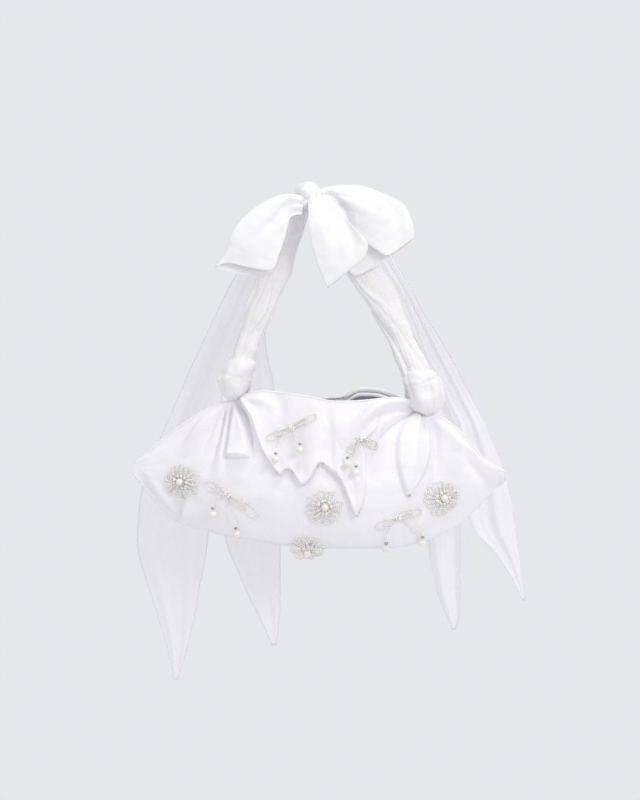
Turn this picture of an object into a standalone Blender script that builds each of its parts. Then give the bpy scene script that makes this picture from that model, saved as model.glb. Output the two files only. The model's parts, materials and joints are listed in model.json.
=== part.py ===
"""Flower girl basket: a white satin pouch that hangs from a soft sash handle tied in a bow.

Metres, +Z up, +Y towards the back, +X to the wearer's left seen from the front. The origin is
the hand grip, just under the knot of the bow. The pouch swings about the line through the two
knots that tie it to the handle, the four sash tails swing about a line under the bow, and each
pearl drop swings about the surface normal where its beaded bow is sewn.
"""

import math

import bmesh
import bpy
import numpy as np
from mathutils import Vector

COLLECTION = "flower_girl_basket"

# Pouch outline seen from the front, as (x, z).
FRONT_RIM = (
    (-0.130, -0.187), (-0.098, -0.161), (-0.071, -0.144), (-0.055, -0.1385), (-0.032, -0.132),
    (-0.006, -0.135), (0.024, -0.140), (0.046, -0.139), (0.065, -0.1375), (0.087, -0.147),
    (0.110, -0.157), (0.128, -0.178), (0.150, -0.194),
)
BACK_RIM = (
    (-0.130, -0.187), (-0.098, -0.161), (-0.071, -0.144), (-0.055, -0.1385), (-0.032, -0.134),
    (0.0, -0.133), (0.050, -0.1305), (0.064, -0.134), (0.076, -0.141), (0.087, -0.147),
    (0.110, -0.157), (0.128, -0.178), (0.150, -0.194),
)
BOTTOM = (
    (-0.130, -0.196), (-0.118, -0.212), (-0.098, -0.232), (-0.073, -0.2385), (-0.043, -0.244),
    (-0.013, -0.248), (0.014, -0.2505), (0.062, -0.2505), (0.088, -0.246), (0.106, -0.239),
    (0.121, -0.229), (0.140, -0.209), (0.150, -0.200),
)

# Pouch depth, as half the distance from front to back.
SEAM_HALF = 0.0024
MOUTH_HALF = 0.018
BASE_HALF = 0.026
BULGE = 0.013
BULGE_SKEW = 0.85
BASE_MID, BASE_HALF_LENGTH = 0.004, 0.102
FOOT_SET_BACK = 0.006  # the beads in front tip the pouch until its mass is under the knots

CLOTH = 0.0016  # satin with its interlining
LINING_CLOTH = 0.0006
LINING_EASE = 0.0009  # between the lining and the panels
GAP = 0.0003  # between touching pieces
LINING_REACH = (-0.096, 0.116)
LINING_FOOT, LINING_TOP = 0.1, 0.86
POUCH_COLUMNS, POUCH_ROWS, BASE_ROWS = 27, 8, 4

# The knots, turned about the line through their centres, which is the swing axis.
KNOT_LEFT = Vector((-0.055, 0.0, -0.123))
KNOT_RIGHT = Vector((0.087, 0.0, -0.131))
KNOT_LEFT_RADII = (0.012, 0.014, 0.014)
KNOT_RIGHT_RADII = (0.013, 0.0145, 0.0145)

# Handle strands, as (x, z, half width) from the knot up to the bow.
LEFT_STRAND = (
    (-0.049, -0.108, 0.008), (-0.040, -0.086, 0.010), (-0.025, -0.056, 0.0105),
    (-0.0135, -0.026, 0.008), (-0.0065, 0.001, 0.006),
)
RIGHT_STRAND = (
    (0.0807, -0.1152, 0.008), (0.069, -0.086, 0.0105), (0.054, -0.056, 0.011),
    (0.043, -0.041, 0.010), (0.025, -0.020, 0.008), (0.008, -0.003, 0.006),
)
STRAND_FLATNESS = 0.6

# Bow, as outlines (x, z) of the puffed loops.
BOW_KNOT = Vector((0.0, -0.001, 0.0142))
BOW_KNOT_RADII = (0.0088, 0.011, 0.0095)
BOW_LOOP_DEPTH = 0.0118
BOW_LEFT_LOOP = (
    (-0.0095, 0.011), (-0.018, 0.013), (-0.032, 0.0075), (-0.047, -0.005), (-0.055, -0.022),
    (-0.057, -0.032), (-0.068, -0.040), (-0.055, -0.043), (-0.0285, -0.041), (-0.019, -0.0225),
    (-0.012, -0.002),
)
BOW_RIGHT_LOOP = (
    (0.0098, 0.015), (0.026, 0.020), (0.0405, 0.019), (0.058, 0.011), (0.071, 0.002),
    (0.080, -0.017), (0.0705, -0.025), (0.063, -0.0285), (0.0465, -0.0225), (0.030, -0.009),
    (0.014, 0.003),
)
BOW_FRONT_LOOP = (
    (0.006, 0.012), (0.024, 0.002), (0.0315, -0.0075), (0.0435, -0.035), (0.035, -0.045),
    (0.016, -0.056), (0.011, -0.041), (0.006, -0.019),
)
BOW_LOOPS_Y = -0.0135  # middle of the side loops, in front of the strands
BOW_FRONT_LOOP_Y = -0.027

# Sash tails, as (z, left edge, right edge), and the line that they swing about.
TAIL_CLOTH = 0.0012
TAIL_COLUMNS, TAIL_ROWS = 4, 22
TAIL_TOP_Y, TAIL_HANG_Y = 0.012, 0.054
TAIL_TOP_Z, TAIL_HANG_Z = -0.016, -0.150
TAIL_WAVE = 0.0015
TAILS = {
    "sash_tail_outer_left": (
        (-0.016, -0.036, -0.020), (-0.045, -0.054, -0.033), (-0.101, -0.081, -0.054),
        (-0.135, -0.0965, -0.064), (-0.169, -0.111, -0.068), (-0.206, -0.125, -0.072),
        (-0.247, -0.129, -0.075), (-0.289, -0.1185, -0.082), (-0.326, -0.107, -0.090),
        (-0.354, -0.101, -0.099),
    ),
    "sash_tail_inner_left": (
        (-0.016, -0.016, -0.004), (-0.045, -0.030, -0.016), (-0.088, -0.046, -0.0315),
        (-0.135, -0.060, -0.024), (-0.190, -0.064, -0.020), (-0.245, -0.062, -0.020),
        (-0.274, -0.051, -0.020), (-0.304, -0.0375, -0.0205), (-0.328, -0.026, -0.024),
    ),
    "sash_tail_inner_right": (
        (-0.016, 0.016, 0.028), (-0.045, 0.038, 0.052), (-0.086, 0.061, 0.078),
        (-0.131, 0.082, 0.100), (-0.169, 0.088, 0.114), (-0.247, 0.0915, 0.117),
        (-0.281, 0.097, 0.117), (-0.3075, 0.1065, 0.116), (-0.316, 0.110, 0.112),
    ),
    "sash_tail_outer_right": (
        (-0.016, 0.040, 0.054), (-0.036, 0.056, 0.0675), (-0.079, 0.080, 0.0915),
        (-0.0975, 0.086, 0.103), (-0.131, 0.102, 0.1215), (-0.169, 0.118, 0.140),
        (-0.199, 0.121, 0.1515), (-0.231, 0.122, 0.158), (-0.259, 0.144, 0.161),
        (-0.281, 0.158, 0.1635), (-0.294, 0.163, 0.165),
    ),
}

# Bead flowers (x, z) on the front. The lowest one is sewn over the front bottom edge.
FLOWERS = ((-0.093, -0.200), (0.0135, -0.217), (0.101, -0.212))
EDGE_FLOWER_X = 0.0
EDGE_FLOWER_TILT = math.radians(53)
FLOWER_RADIUS, FLOWER_LOBES, FLOWER_LOBE_DEPTH = 0.0132, 8, 0.0008
FLOWER_HEIGHT = 0.0032
FLOWER_PEARL_RADIUS = 0.0027

# Beaded bows: centre, the two loop tips from the centre, and the pearl of each drop, all (x, z).
BEAD_BOWS = (
    ((-0.0105, -0.159), (-0.020, -0.010), (0.0165, 0.008), (-0.022, -0.183), (-0.0045, -0.176)),
    ((-0.0585, -0.209), (-0.0155, 0.010), (0.0235, -0.017), (-0.068, -0.223), (-0.051, -0.237)),
    ((0.0675, -0.226), (-0.0155, -0.007), (0.0120, 0.003), (0.058, -0.2475), (0.084, -0.2445)),
    ((0.039, -0.167), (-0.0085, -0.0055), (0.0145, -0.007), (0.030, -0.186), (0.036, -0.192)),
)
BEAD_BOW_HEIGHT = 0.0016
BEAD_BOW_WAIST = 0.0026
DROP_LENGTH = 0.008  # swing axis to the middle of the pearl
DROP_PEARL_RADIUS = 0.0027
DROP_LINK_RADIUS = 0.0009
DROP_STAND = 0.0013  # clear space under a pearl

SATIN = (0.86, 0.86, 0.88, 1.0)
SATIN_SHADE = (0.78, 0.77, 0.80, 1.0)
SHEER = (0.80, 0.79, 0.82, 1.0)
PEARL = (0.84, 0.78, 0.68, 1.0)
SEED_BEAD = (0.72, 0.71, 0.70, 1.0)


def clear_scene():
    for obj in list(bpy.data.objects):
        bpy.data.objects.remove(obj, do_unlink=True)
    made = bpy.data.collections.new(COLLECTION)
    bpy.context.scene.collection.children.link(made)
    return made


def finish(obj, name, colour, roughness, metallic=0.0):
    """Name the object, give it its own material and move it to the basket's collection."""
    obj.name = name
    material = bpy.data.materials.new(name)
    material.use_nodes = True
    shader = material.node_tree.nodes["Principled BSDF"]
    shader.inputs["Base Color"].default_value = colour
    shader.inputs["Roughness"].default_value = roughness
    shader.inputs["Metallic"].default_value = metallic
    obj.data.materials.clear()
    obj.data.materials.append(material)
    for old in list(obj.users_collection):
        old.objects.unlink(obj)
    basket.objects.link(obj)
    if obj.type == "MESH":
        obj.data.shade_smooth()
    return obj


def level(points, x):
    """Height at x of a smooth line through (x, z) points that never overshoots them."""
    xs, zs = np.array(points).T
    steps = np.diff(zs) / np.diff(xs)
    before, after = steps[:-1], steps[1:]
    same_way = before * after > 0
    inner = np.where(same_way, 2 * before * after / np.where(same_way, before + after, 1), 0)
    slopes = np.concatenate([steps[:1], inner, steps[-1:]])
    i = int(np.clip(np.searchsorted(xs, x) - 1, 0, len(xs) - 2))
    h = xs[i + 1] - xs[i]
    s = (x - xs[i]) / h
    rise = zs[i] * (1 + 2 * s) * (1 - s) ** 2 + zs[i + 1] * s * s * (3 - 2 * s)
    return float(rise + h * (slopes[i] * s * (1 - s) ** 2 - slopes[i + 1] * s * s * (1 - s)))


def panel_foot(x):
    """Lower edge of the front and back panels, which stand on the base panel."""
    return level(BOTTOM, x) + CLOTH + GAP


def half_depth(x, t):
    """Half the pouch's depth at x, with t from 0 at the base to 1 at the rim."""
    along = abs((x - BASE_MID) / BASE_HALF_LENGTH)
    base = SEAM_HALF + (BASE_HALF - SEAM_HALF) * max(0.0, 1 - along**3)
    across = (x - KNOT_LEFT.x) / (KNOT_RIGHT.x - KNOT_LEFT.x)
    open_by = math.sin(math.pi * across) if 0 < across < 1 else 0.0
    mouth = SEAM_HALF + (MOUTH_HALF - SEAM_HALF) * open_by
    low, high = FRONT_RIM[0][0], FRONT_RIM[-1][0]
    end = (2 * x - low - high) / (high - low)
    puff = BULGE * max(0.0, 1 - end * end) * math.sin(math.pi * t**BULGE_SKEW)
    return base * (1 - t) + mouth * t + puff


def middle_y(t):
    """Half-way between front and back at the height t."""
    return FOOT_SET_BACK * (1 - t)


def pouch_point(x, t, side, rim):
    """A point of the outer surface: side is -1 for the front and +1 for the back."""
    foot = panel_foot(x)
    return Vector((x, middle_y(t) + side * half_depth(x, t), foot + (level(rim, x) - foot) * t))


def front_height(x, z):
    """How far up the front panel the height z lies, 0 at its foot and 1 at its rim."""
    foot = panel_foot(x)
    return (z - foot) / (level(FRONT_RIM, x) - foot)


def front_y(x, z):
    t = min(max(front_height(x, z), 0.0), 1.0)
    return middle_y(t) - half_depth(x, t)


def front_normal(x, z, step=0.0015):
    """Outward normal of the front panel."""
    along = Vector((2 * step, front_y(x + step, z) - front_y(x - step, z), 0))
    up = Vector((0, front_y(x, z + step) - front_y(x, z - step), 2 * step))
    return along.cross(up).normalized()


def sheet(name, rows, thickness, colour, roughness, ends_joined=False):
    """Rows of points made a surface, then given a thickness behind its normals."""
    mesh = bpy.data.meshes.new(name)
    bm = bmesh.new()
    lines = [[bm.verts.new(point) for point in row] for row in rows]
    for lower, upper in zip(lines, lines[1:]):
        for k in range(len(lower) - 1):
            bm.faces.new((lower[k], lower[k + 1], upper[k + 1], upper[k]))
    if ends_joined:
        half = len(lines) // 2
        for k in range(half):
            low, high = lines[k], lines[-1 - k]
            low_next, high_next = lines[k + 1], lines[-2 - k]
            loops = ((low[0], low_next[0], high_next[0], high[0]),
                     (low[-1], high[-1], high_next[-1], low_next[-1]))
            for loop in loops:
                corners = list(dict.fromkeys(loop))
                if len(corners) > 2:
                    bm.faces.new(corners)
    bm.to_mesh(mesh)
    bm.free()
    obj = bpy.data.objects.new(name, mesh)
    bpy.context.scene.collection.objects.link(obj)
    solid = obj.modifiers.new("thickness", "SOLIDIFY")
    solid.thickness = thickness
    solid.offset = -1
    return finish(obj, name, colour, roughness)


def pouch_columns():
    return np.linspace(FRONT_RIM[0][0], FRONT_RIM[-1][0], POUCH_COLUMNS)


def front_panel():
    xs = pouch_columns()
    rows = [[pouch_point(x, t, -1, FRONT_RIM) for x in xs] for t in np.linspace(0, 1, POUCH_ROWS)]
    return sheet("front_panel", rows, CLOTH, SATIN, 0.34)


def back_panel():
    xs = pouch_columns()[::-1]
    rows = [[pouch_point(x, t, 1, BACK_RIM) for x in xs] for t in np.linspace(0, 1, POUCH_ROWS)]
    return sheet("back_panel", rows, CLOTH, SATIN, 0.34)


def base_panel():
    """A boat-shaped gusset, flat between the two lowest points of the bottom line."""
    reach = BASE_HALF_LENGTH * 0.98
    flat = [x for x, z in BOTTOM if z == min(z for _, z in BOTTOM)]
    even = np.linspace(BASE_MID + reach, BASE_MID - reach, POUCH_COLUMNS - 6)
    xs = sorted(set(even) | set(flat), reverse=True)
    rows = []
    for across in np.linspace(-1, 1, BASE_ROWS + 1):
        ys = [middle_y(0) + across * half_depth(x, 0) for x in xs]
        rows.append([Vector((x, y, level(BOTTOM, x))) for x, y in zip(xs, ys)])
    return sheet("base_panel", rows, CLOTH, SATIN, 0.34)


def lining():
    """An open pouch inside the panels, its two ends sewn shut."""
    inset = CLOTH + LINING_EASE
    xs = [x for x in pouch_columns()[::-1] if LINING_REACH[0] < x < LINING_REACH[1]]
    heights = np.linspace(LINING_FOOT, LINING_TOP, POUCH_ROWS - 1)

    def wall(side, rim, t):
        row = []
        for x in xs:
            at = pouch_point(x, t, side, rim)
            along = pouch_point(x + 0.001, t, side, rim) - pouch_point(x - 0.001, t, side, rim)
            up = pouch_point(x, t + 0.01, side, rim) - pouch_point(x, t - 0.01, side, rim)
            inward = along.cross(up).normalized() * side
            row.append(at + inward * inset)
        return row

    front = [wall(-1, FRONT_RIM, t) for t in heights]
    back = [wall(1, BACK_RIM, t) for t in heights]
    floor = [Vector((x, middle_y(0), panel_foot(x) + GAP + LINING_CLOTH)) for x in xs]
    rows = front[::-1] + [floor] + back
    return sheet("lining", rows, LINING_CLOTH, SATIN_SHADE, 0.45, ends_joined=True)


def ball(name, centre, radii, colour, roughness, segments=12, rings=8, rotation=(0, 0, 0)):
    bpy.ops.mesh.primitive_uv_sphere_add(
        segments=segments, ring_count=rings, radius=1, location=centre, rotation=rotation
    )
    obj = bpy.context.object
    obj.scale = radii
    return finish(obj, name, colour, roughness)


def knots():
    swing_axis = KNOT_RIGHT - KNOT_LEFT
    turn = Vector((1, 0, 0)).rotation_difference(swing_axis).to_euler()
    ball("knot_left", KNOT_LEFT, KNOT_LEFT_RADII, SATIN, 0.34, 14, 8, turn)
    ball("knot_right", KNOT_RIGHT, KNOT_RIGHT_RADII, SATIN, 0.34, 14, 8, turn)
    ball("bow_knot", BOW_KNOT, BOW_KNOT_RADII, SATIN, 0.34, 14, 8)


def strand(name, stations):
    """A gathered sash, as a tube that is flatter from front to back than it is wide."""
    curve = bpy.data.curves.new(name, "CURVE")
    curve.dimensions = "3D"
    curve.bevel_depth = 1.0
    curve.bevel_resolution = 2
    curve.use_fill_caps = True
    spline = curve.splines.new("POLY")
    heights = np.array([z for _, z, _ in stations])
    across = [(z, x) for x, z, _ in stations]
    widths = [(z, width) for _, z, width in stations]
    stops = np.linspace(heights[0], heights[-1], 2 * len(stations) - 1)
    spline.points.add(len(stops) - 1)
    for point, z in zip(spline.points, stops):
        point.co = (level(across, z), 0, z, 1)
        point.radius = level(widths, z)
    obj = bpy.data.objects.new(name, curve)
    bpy.context.scene.collection.objects.link(obj)
    obj.scale.y = STRAND_FLATNESS
    return finish(obj, name, SATIN, 0.34)


def bow_loop(name, outline, y, depth=BOW_LOOP_DEPTH):
    """A puffed loop of sash, as an upright flat solid with a smooth outline."""
    curve = bpy.data.curves.new(name, "CURVE")
    curve.dimensions = "2D"
    curve.fill_mode = "BOTH"
    curve.extrude = depth / 2
    curve.resolution_u = 3
    spline = curve.splines.new("BEZIER")
    spline.bezier_points.add(len(outline) - 1)
    for point, (x, z) in zip(spline.bezier_points, outline):
        point.co = (x, z, 0)
        point.handle_left_type = point.handle_right_type = "AUTO"
    spline.use_cyclic_u = True
    obj = bpy.data.objects.new(name, curve)
    bpy.context.scene.collection.objects.link(obj)
    obj.rotation_euler = (math.pi / 2, 0, 0)
    obj.location.y = y
    return finish(obj, name, SATIN, 0.34)


def tail_y(z):
    """Tails leave the bow's back and then hang clear of the pouch."""
    s = min(max((z - TAIL_TOP_Z) / (TAIL_HANG_Z - TAIL_TOP_Z), 0.0), 1.0)
    return TAIL_TOP_Y + (TAIL_HANG_Y - TAIL_TOP_Y) * s * s * (3 - 2 * s)


def tail(name, stations):
    lefts = [(z, left) for z, left, _ in reversed(stations)]
    rights = [(z, right) for z, _, right in reversed(stations)]
    rows = []
    for z in np.linspace(stations[-1][0], stations[0][0], TAIL_ROWS):
        left, right = level(lefts, z), level(rights, z)
        row = []
        for v in np.linspace(1, 0, TAIL_COLUMNS + 1):
            wave = TAIL_WAVE * math.sin(2 * math.pi * v)
            row.append(Vector((left + (right - left) * v, tail_y(z) + wave, z)))
        rows.append(row)
    return sheet(name, rows, TAIL_CLOTH, SHEER, 0.45)


def lens(name, radius_at, height, place, colour, segments=24, rings=6):
    """A low domed patch: a flattened sphere whose outline is radius_at(angle), set by place."""
    mesh = bpy.data.meshes.new(name)
    bm = bmesh.new()
    bmesh.ops.create_uvsphere(bm, u_segments=segments, v_segments=rings, radius=1)
    for vert in bm.verts:
        across = math.hypot(vert.co.x, vert.co.y)
        reach = radius_at(math.atan2(vert.co.y, vert.co.x)) if across > 1e-6 else 0.0
        up = height * (vert.co.z if vert.co.z > 0 else 0.1 * vert.co.z)
        vert.co = place(reach * vert.co.x, reach * vert.co.y, up + 0.1 * height)
    bm.to_mesh(mesh)
    bm.free()
    obj = bpy.data.objects.new(name, mesh)
    bpy.context.scene.collection.objects.link(obj)
    return finish(obj, name, colour, 0.25)


def on_front(x, z):
    """Placement that bends a patch to the front panel around (x, z)."""
    def place(across, up, out):
        y = front_y(x + across, z + up)
        return Vector((x + across, y - out - 2 * GAP, z + up))
    return place


def bead_flowers():
    def outline(angle):
        return FLOWER_RADIUS + FLOWER_LOBE_DEPTH * math.cos(FLOWER_LOBES * angle)

    def pearl(number, place):
        centre = place(0, 0, FLOWER_HEIGHT + FLOWER_PEARL_RADIUS + 2 * GAP)
        ball(f"bead_flower_{number}_pearl", centre, [FLOWER_PEARL_RADIUS] * 3, PEARL, 0.25, 10, 6)

    places = [on_front(x, z) for x, z in FLOWERS]
    edge_z = level(BOTTOM, EDGE_FLOWER_X)
    edge = Vector((EDGE_FLOWER_X, front_y(EDGE_FLOWER_X, edge_z), edge_z))
    out_way = Vector((0, -math.cos(EDGE_FLOWER_TILT), -math.sin(EDGE_FLOWER_TILT)))
    up_way = Vector((0, -math.sin(EDGE_FLOWER_TILT), math.cos(EDGE_FLOWER_TILT)))
    places.append(lambda across, up, out: edge + Vector((across, 0, 0)) + up_way * up
                  + out_way * (out + 2 * GAP))
    for number, place in enumerate(places, 1):
        lens(f"bead_flower_{number}", outline, FLOWER_HEIGHT, place, SEED_BEAD, 32)
        pearl(number, place)


def bead_bows():
    for number, (centre, left, right, *pearls) in enumerate(BEAD_BOWS, 1):
        tips = [(math.atan2(z, x), math.hypot(x, z)) for x, z in (left, right)]

        def outline(angle, tips=tips):
            reach = BEAD_BOW_WAIST
            for way, length in tips:
                lobe = max(0.0, math.cos(angle - way)) ** 6
                reach = max(reach, length * lobe)
            return reach

        lens(f"bead_bow_{number}", outline, BEAD_BOW_HEIGHT, on_front(*centre), SEED_BEAD, 32)
        for side, (x, z) in zip(("left", "right"), pearls):
            drop(f"drop_{number}_{side}", x, z)


def drop(name, x, z):
    """A pearl on a beaded link, hanging down the slope of the front panel."""
    normal = front_normal(x, z)
    down = (Vector((0, 0, -1)) + normal * normal.z).normalized()
    pearl = Vector((x, front_y(x, z), z)) + normal * (DROP_PEARL_RADIUS + DROP_STAND)
    pivot = pearl - down * DROP_LENGTH
    link_length = DROP_LENGTH - DROP_PEARL_RADIUS - GAP
    bpy.ops.mesh.primitive_cylinder_add(
        vertices=8, radius=DROP_LINK_RADIUS, depth=link_length,
        location=pivot + down * link_length / 2,
        rotation=down.to_track_quat("Z", "Y").to_euler(),
    )
    finish(bpy.context.object, name + "_link", SEED_BEAD, 0.25)
    ball(name + "_pearl", pearl, [DROP_PEARL_RADIUS] * 3, PEARL, 0.2, 10, 6)


def main():
    front_panel()
    back_panel()
    base_panel()
    lining()
    knots()
    strand("handle_left_strand", LEFT_STRAND)
    strand("handle_right_strand", RIGHT_STRAND)
    bow_loop("bow_left_loop", BOW_LEFT_LOOP, BOW_LOOPS_Y)
    bow_loop("bow_right_loop", BOW_RIGHT_LOOP, BOW_LOOPS_Y)
    bow_loop("bow_front_loop", BOW_FRONT_LOOP, BOW_FRONT_LOOP_Y)
    for name, stations in TAILS.items():
        tail(name, stations)
    bead_flowers()
    bead_bows()


basket = clear_scene()
main()
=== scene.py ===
import json
import math
import random

import bmesh
import bpy
import numpy as np
from mathutils import Matrix, Vector, noise
from mathutils.bvhtree import BVHTree


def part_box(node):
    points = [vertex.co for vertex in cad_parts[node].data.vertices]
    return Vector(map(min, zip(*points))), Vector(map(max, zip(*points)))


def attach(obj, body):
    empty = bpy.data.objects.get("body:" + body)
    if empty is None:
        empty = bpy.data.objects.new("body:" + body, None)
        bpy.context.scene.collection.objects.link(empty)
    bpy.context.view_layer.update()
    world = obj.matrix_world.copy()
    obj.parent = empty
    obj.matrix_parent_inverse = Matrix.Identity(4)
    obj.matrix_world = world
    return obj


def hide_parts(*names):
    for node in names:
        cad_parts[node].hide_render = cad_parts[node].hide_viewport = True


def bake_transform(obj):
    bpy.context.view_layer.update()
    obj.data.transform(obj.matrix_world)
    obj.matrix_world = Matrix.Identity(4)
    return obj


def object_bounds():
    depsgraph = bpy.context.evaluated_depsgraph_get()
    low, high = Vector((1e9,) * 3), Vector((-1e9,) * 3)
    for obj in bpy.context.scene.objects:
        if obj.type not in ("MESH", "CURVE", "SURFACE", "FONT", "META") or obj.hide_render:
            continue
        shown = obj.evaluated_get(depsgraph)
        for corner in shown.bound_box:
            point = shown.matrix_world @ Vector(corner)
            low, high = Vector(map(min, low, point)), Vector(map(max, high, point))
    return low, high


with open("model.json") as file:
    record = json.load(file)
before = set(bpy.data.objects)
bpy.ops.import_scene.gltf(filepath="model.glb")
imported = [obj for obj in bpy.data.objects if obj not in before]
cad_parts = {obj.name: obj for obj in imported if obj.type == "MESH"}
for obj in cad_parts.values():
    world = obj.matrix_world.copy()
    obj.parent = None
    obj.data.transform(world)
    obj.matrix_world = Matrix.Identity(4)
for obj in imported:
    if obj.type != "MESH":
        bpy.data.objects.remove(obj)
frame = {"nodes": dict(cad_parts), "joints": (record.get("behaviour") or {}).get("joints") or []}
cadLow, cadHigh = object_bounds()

mm = 0.001
farOff = 0.3  # a depth well outside the basket, where rays start
scene = bpy.context.scene

# View: nearly level with the basket, so that a little of the mouth shows.
viewSetup = {
    "aimFromRight": 0.156,  # how far left of the box's right side the camera points
    "aimUp": 0.215,
    "distance": 1.667,
    "lens": 100.0,
    "sensor": 36.0,
    "farthest": 20.0,
    "raise": 1.6,
}


def addCamera(setup):
    lensData = bpy.data.cameras.new("basketView")
    lensData.lens = setup["lens"]
    lensData.sensor_width = setup["sensor"]
    lensData.clip_end = setup["farthest"]
    viewer = bpy.data.objects.new("basketView", lensData)
    scene.collection.objects.link(viewer)
    aim = Vector((cadHigh.x - setup["aimFromRight"], 0.0, cadLow.z + setup["aimUp"]))
    tilt = math.radians(setup["raise"])
    away = Vector((0.0, -math.cos(tilt), math.sin(tilt)))
    viewer.location = aim + away * setup["distance"]
    viewer.rotation_euler = (-away).to_track_quat("-Z", "Y").to_euler()
    scene.camera = viewer
    return aim


aimPoint = addCamera(viewSetup)
scene.view_settings.view_transform = "Standard"

# Studio: pale surround, one big soft light from the upper right, a weaker one from the left.
studio = {
    "backdrop": (0.783, 0.799, 0.831),
    "ambient": (0.97, 0.975, 1.0),
    "ambientStrength": 0.78,
    "floorDrop": 0.33,
    "floorRadius": 0.9,
    "floorSides": 96,
    "floorRoughness": 0.8,
    "floorColour": (0.80, 0.81, 0.83, 1.0),
    "lights": (
        ("keyLight", (0.80, -1.10, 0.66), 0.50, 4.3, (1.0, 0.99, 0.975)),
        ("topLight", (0.15, -0.30, 1.25), 0.45, 3.4, (1.0, 0.995, 0.99)),
        ("fillLight", (-0.7, -1.2, 0.30), 0.9, 0.5, (0.96, 0.975, 1.0)),
        ("rearLight", (0.3, 1.1, 0.7), 0.8, 3.2, (0.98, 0.985, 1.0)),
    ),
}


def addStudio(setup):
    world = bpy.data.worlds.new("paleStudio")
    world.use_nodes = True
    scene.world = world
    tree = world.node_tree
    tree.nodes.clear()
    out = tree.nodes.new("ShaderNodeOutputWorld")
    seen = tree.nodes.new("ShaderNodeBackground")
    seen.inputs["Color"].default_value = (*setup["backdrop"], 1.0)
    around = tree.nodes.new("ShaderNodeBackground")
    around.inputs["Color"].default_value = (*setup["ambient"], 1.0)
    around.inputs["Strength"].default_value = setup["ambientStrength"]
    paths = tree.nodes.new("ShaderNodeLightPath")
    pick = tree.nodes.new("ShaderNodeMixShader")
    tree.links.new(paths.outputs["Is Camera Ray"], pick.inputs["Fac"])
    tree.links.new(around.outputs["Background"], pick.inputs[1])
    tree.links.new(seen.outputs["Background"], pick.inputs[2])
    tree.links.new(pick.outputs["Shader"], out.inputs["Surface"])
    for name, place, size, power, colour in setup["lights"]:
        lamp = bpy.data.lights.new(name, "AREA")
        lamp.shape = "DISK"
        lamp.size = size
        lamp.energy = power
        lamp.color = colour
        obj = bpy.data.objects.new(name, lamp)
        obj.location = aimPoint + Vector(place)
        obj.rotation_euler = (-Vector(place)).to_track_quat("-Z", "Y").to_euler()
        scene.collection.objects.link(obj)
    mesh = bpy.data.meshes.new("paleFloor")
    rim = np.linspace(0, 2 * math.pi, setup["floorSides"] + 1)[:-1]
    radius = setup["floorRadius"]
    corners = [(radius * math.cos(a), radius * math.sin(a), 0) for a in rim]
    mesh.from_pydata(corners, [], [tuple(range(len(corners)))])
    floor = bpy.data.objects.new("paleFloor", mesh)
    floor.location = (aimPoint.x, 0.0, cadLow.z - setup["floorDrop"])
    scene.collection.objects.link(floor)
    paint = bpy.data.materials.new("floorPaint")
    paint.use_nodes = True
    shader = paint.node_tree.nodes["Principled BSDF"]
    shader.inputs["Base Color"].default_value = setup["floorColour"]
    shader.inputs["Roughness"].default_value = setup["floorRoughness"]
    mesh.materials.append(paint)


addStudio(studio)
print("camera and studio ready")


# Finishes. Each cloth has its own threads, slubs and soft creases.
def newFinish(name):
    material = bpy.data.materials.new(name)
    material.use_nodes = True
    tree = material.node_tree
    tree.nodes.clear()
    out = tree.nodes.new("ShaderNodeOutputMaterial")
    shader = tree.nodes.new("ShaderNodeBsdfPrincipled")
    tree.links.new(shader.outputs["BSDF"], out.inputs["Surface"])
    return material, tree, shader


def addNode(tree, kind, settings=None, **sockets):
    node = tree.nodes.new(kind)
    for key, value in (settings or {}).items():
        setattr(node, key, value)
    for key, value in sockets.items():
        socket = node.inputs[key.replace("_", " ")]
        if isinstance(value, bpy.types.NodeSocket):
            tree.links.new(value, socket)
        else:
            socket.default_value = value
    return node


def spread(tree, value, low, high):
    node = addNode(tree, "ShaderNodeMapRange", None, Value=value, From_Min=0.3, From_Max=0.7)
    node.inputs["To Min"].default_value = low
    node.inputs["To Max"].default_value = high
    return node.outputs["Result"]


def tint(tree, amount, first, second):
    node = addNode(tree, "ShaderNodeMix", {"data_type": "RGBA"})
    tree.links.new(amount, node.inputs[0])
    node.inputs[6].default_value = (*first, 1.0)
    node.inputs[7].default_value = (*second, 1.0)
    return node.outputs[2]


def bumped(tree, height, distance, strength, before=None):
    node = addNode(tree, "ShaderNodeBump", None, Height=height, Distance=distance, Strength=strength)
    if before is not None:
        tree.links.new(before, node.inputs["Normal"])
    return node.outputs["Normal"]


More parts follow.
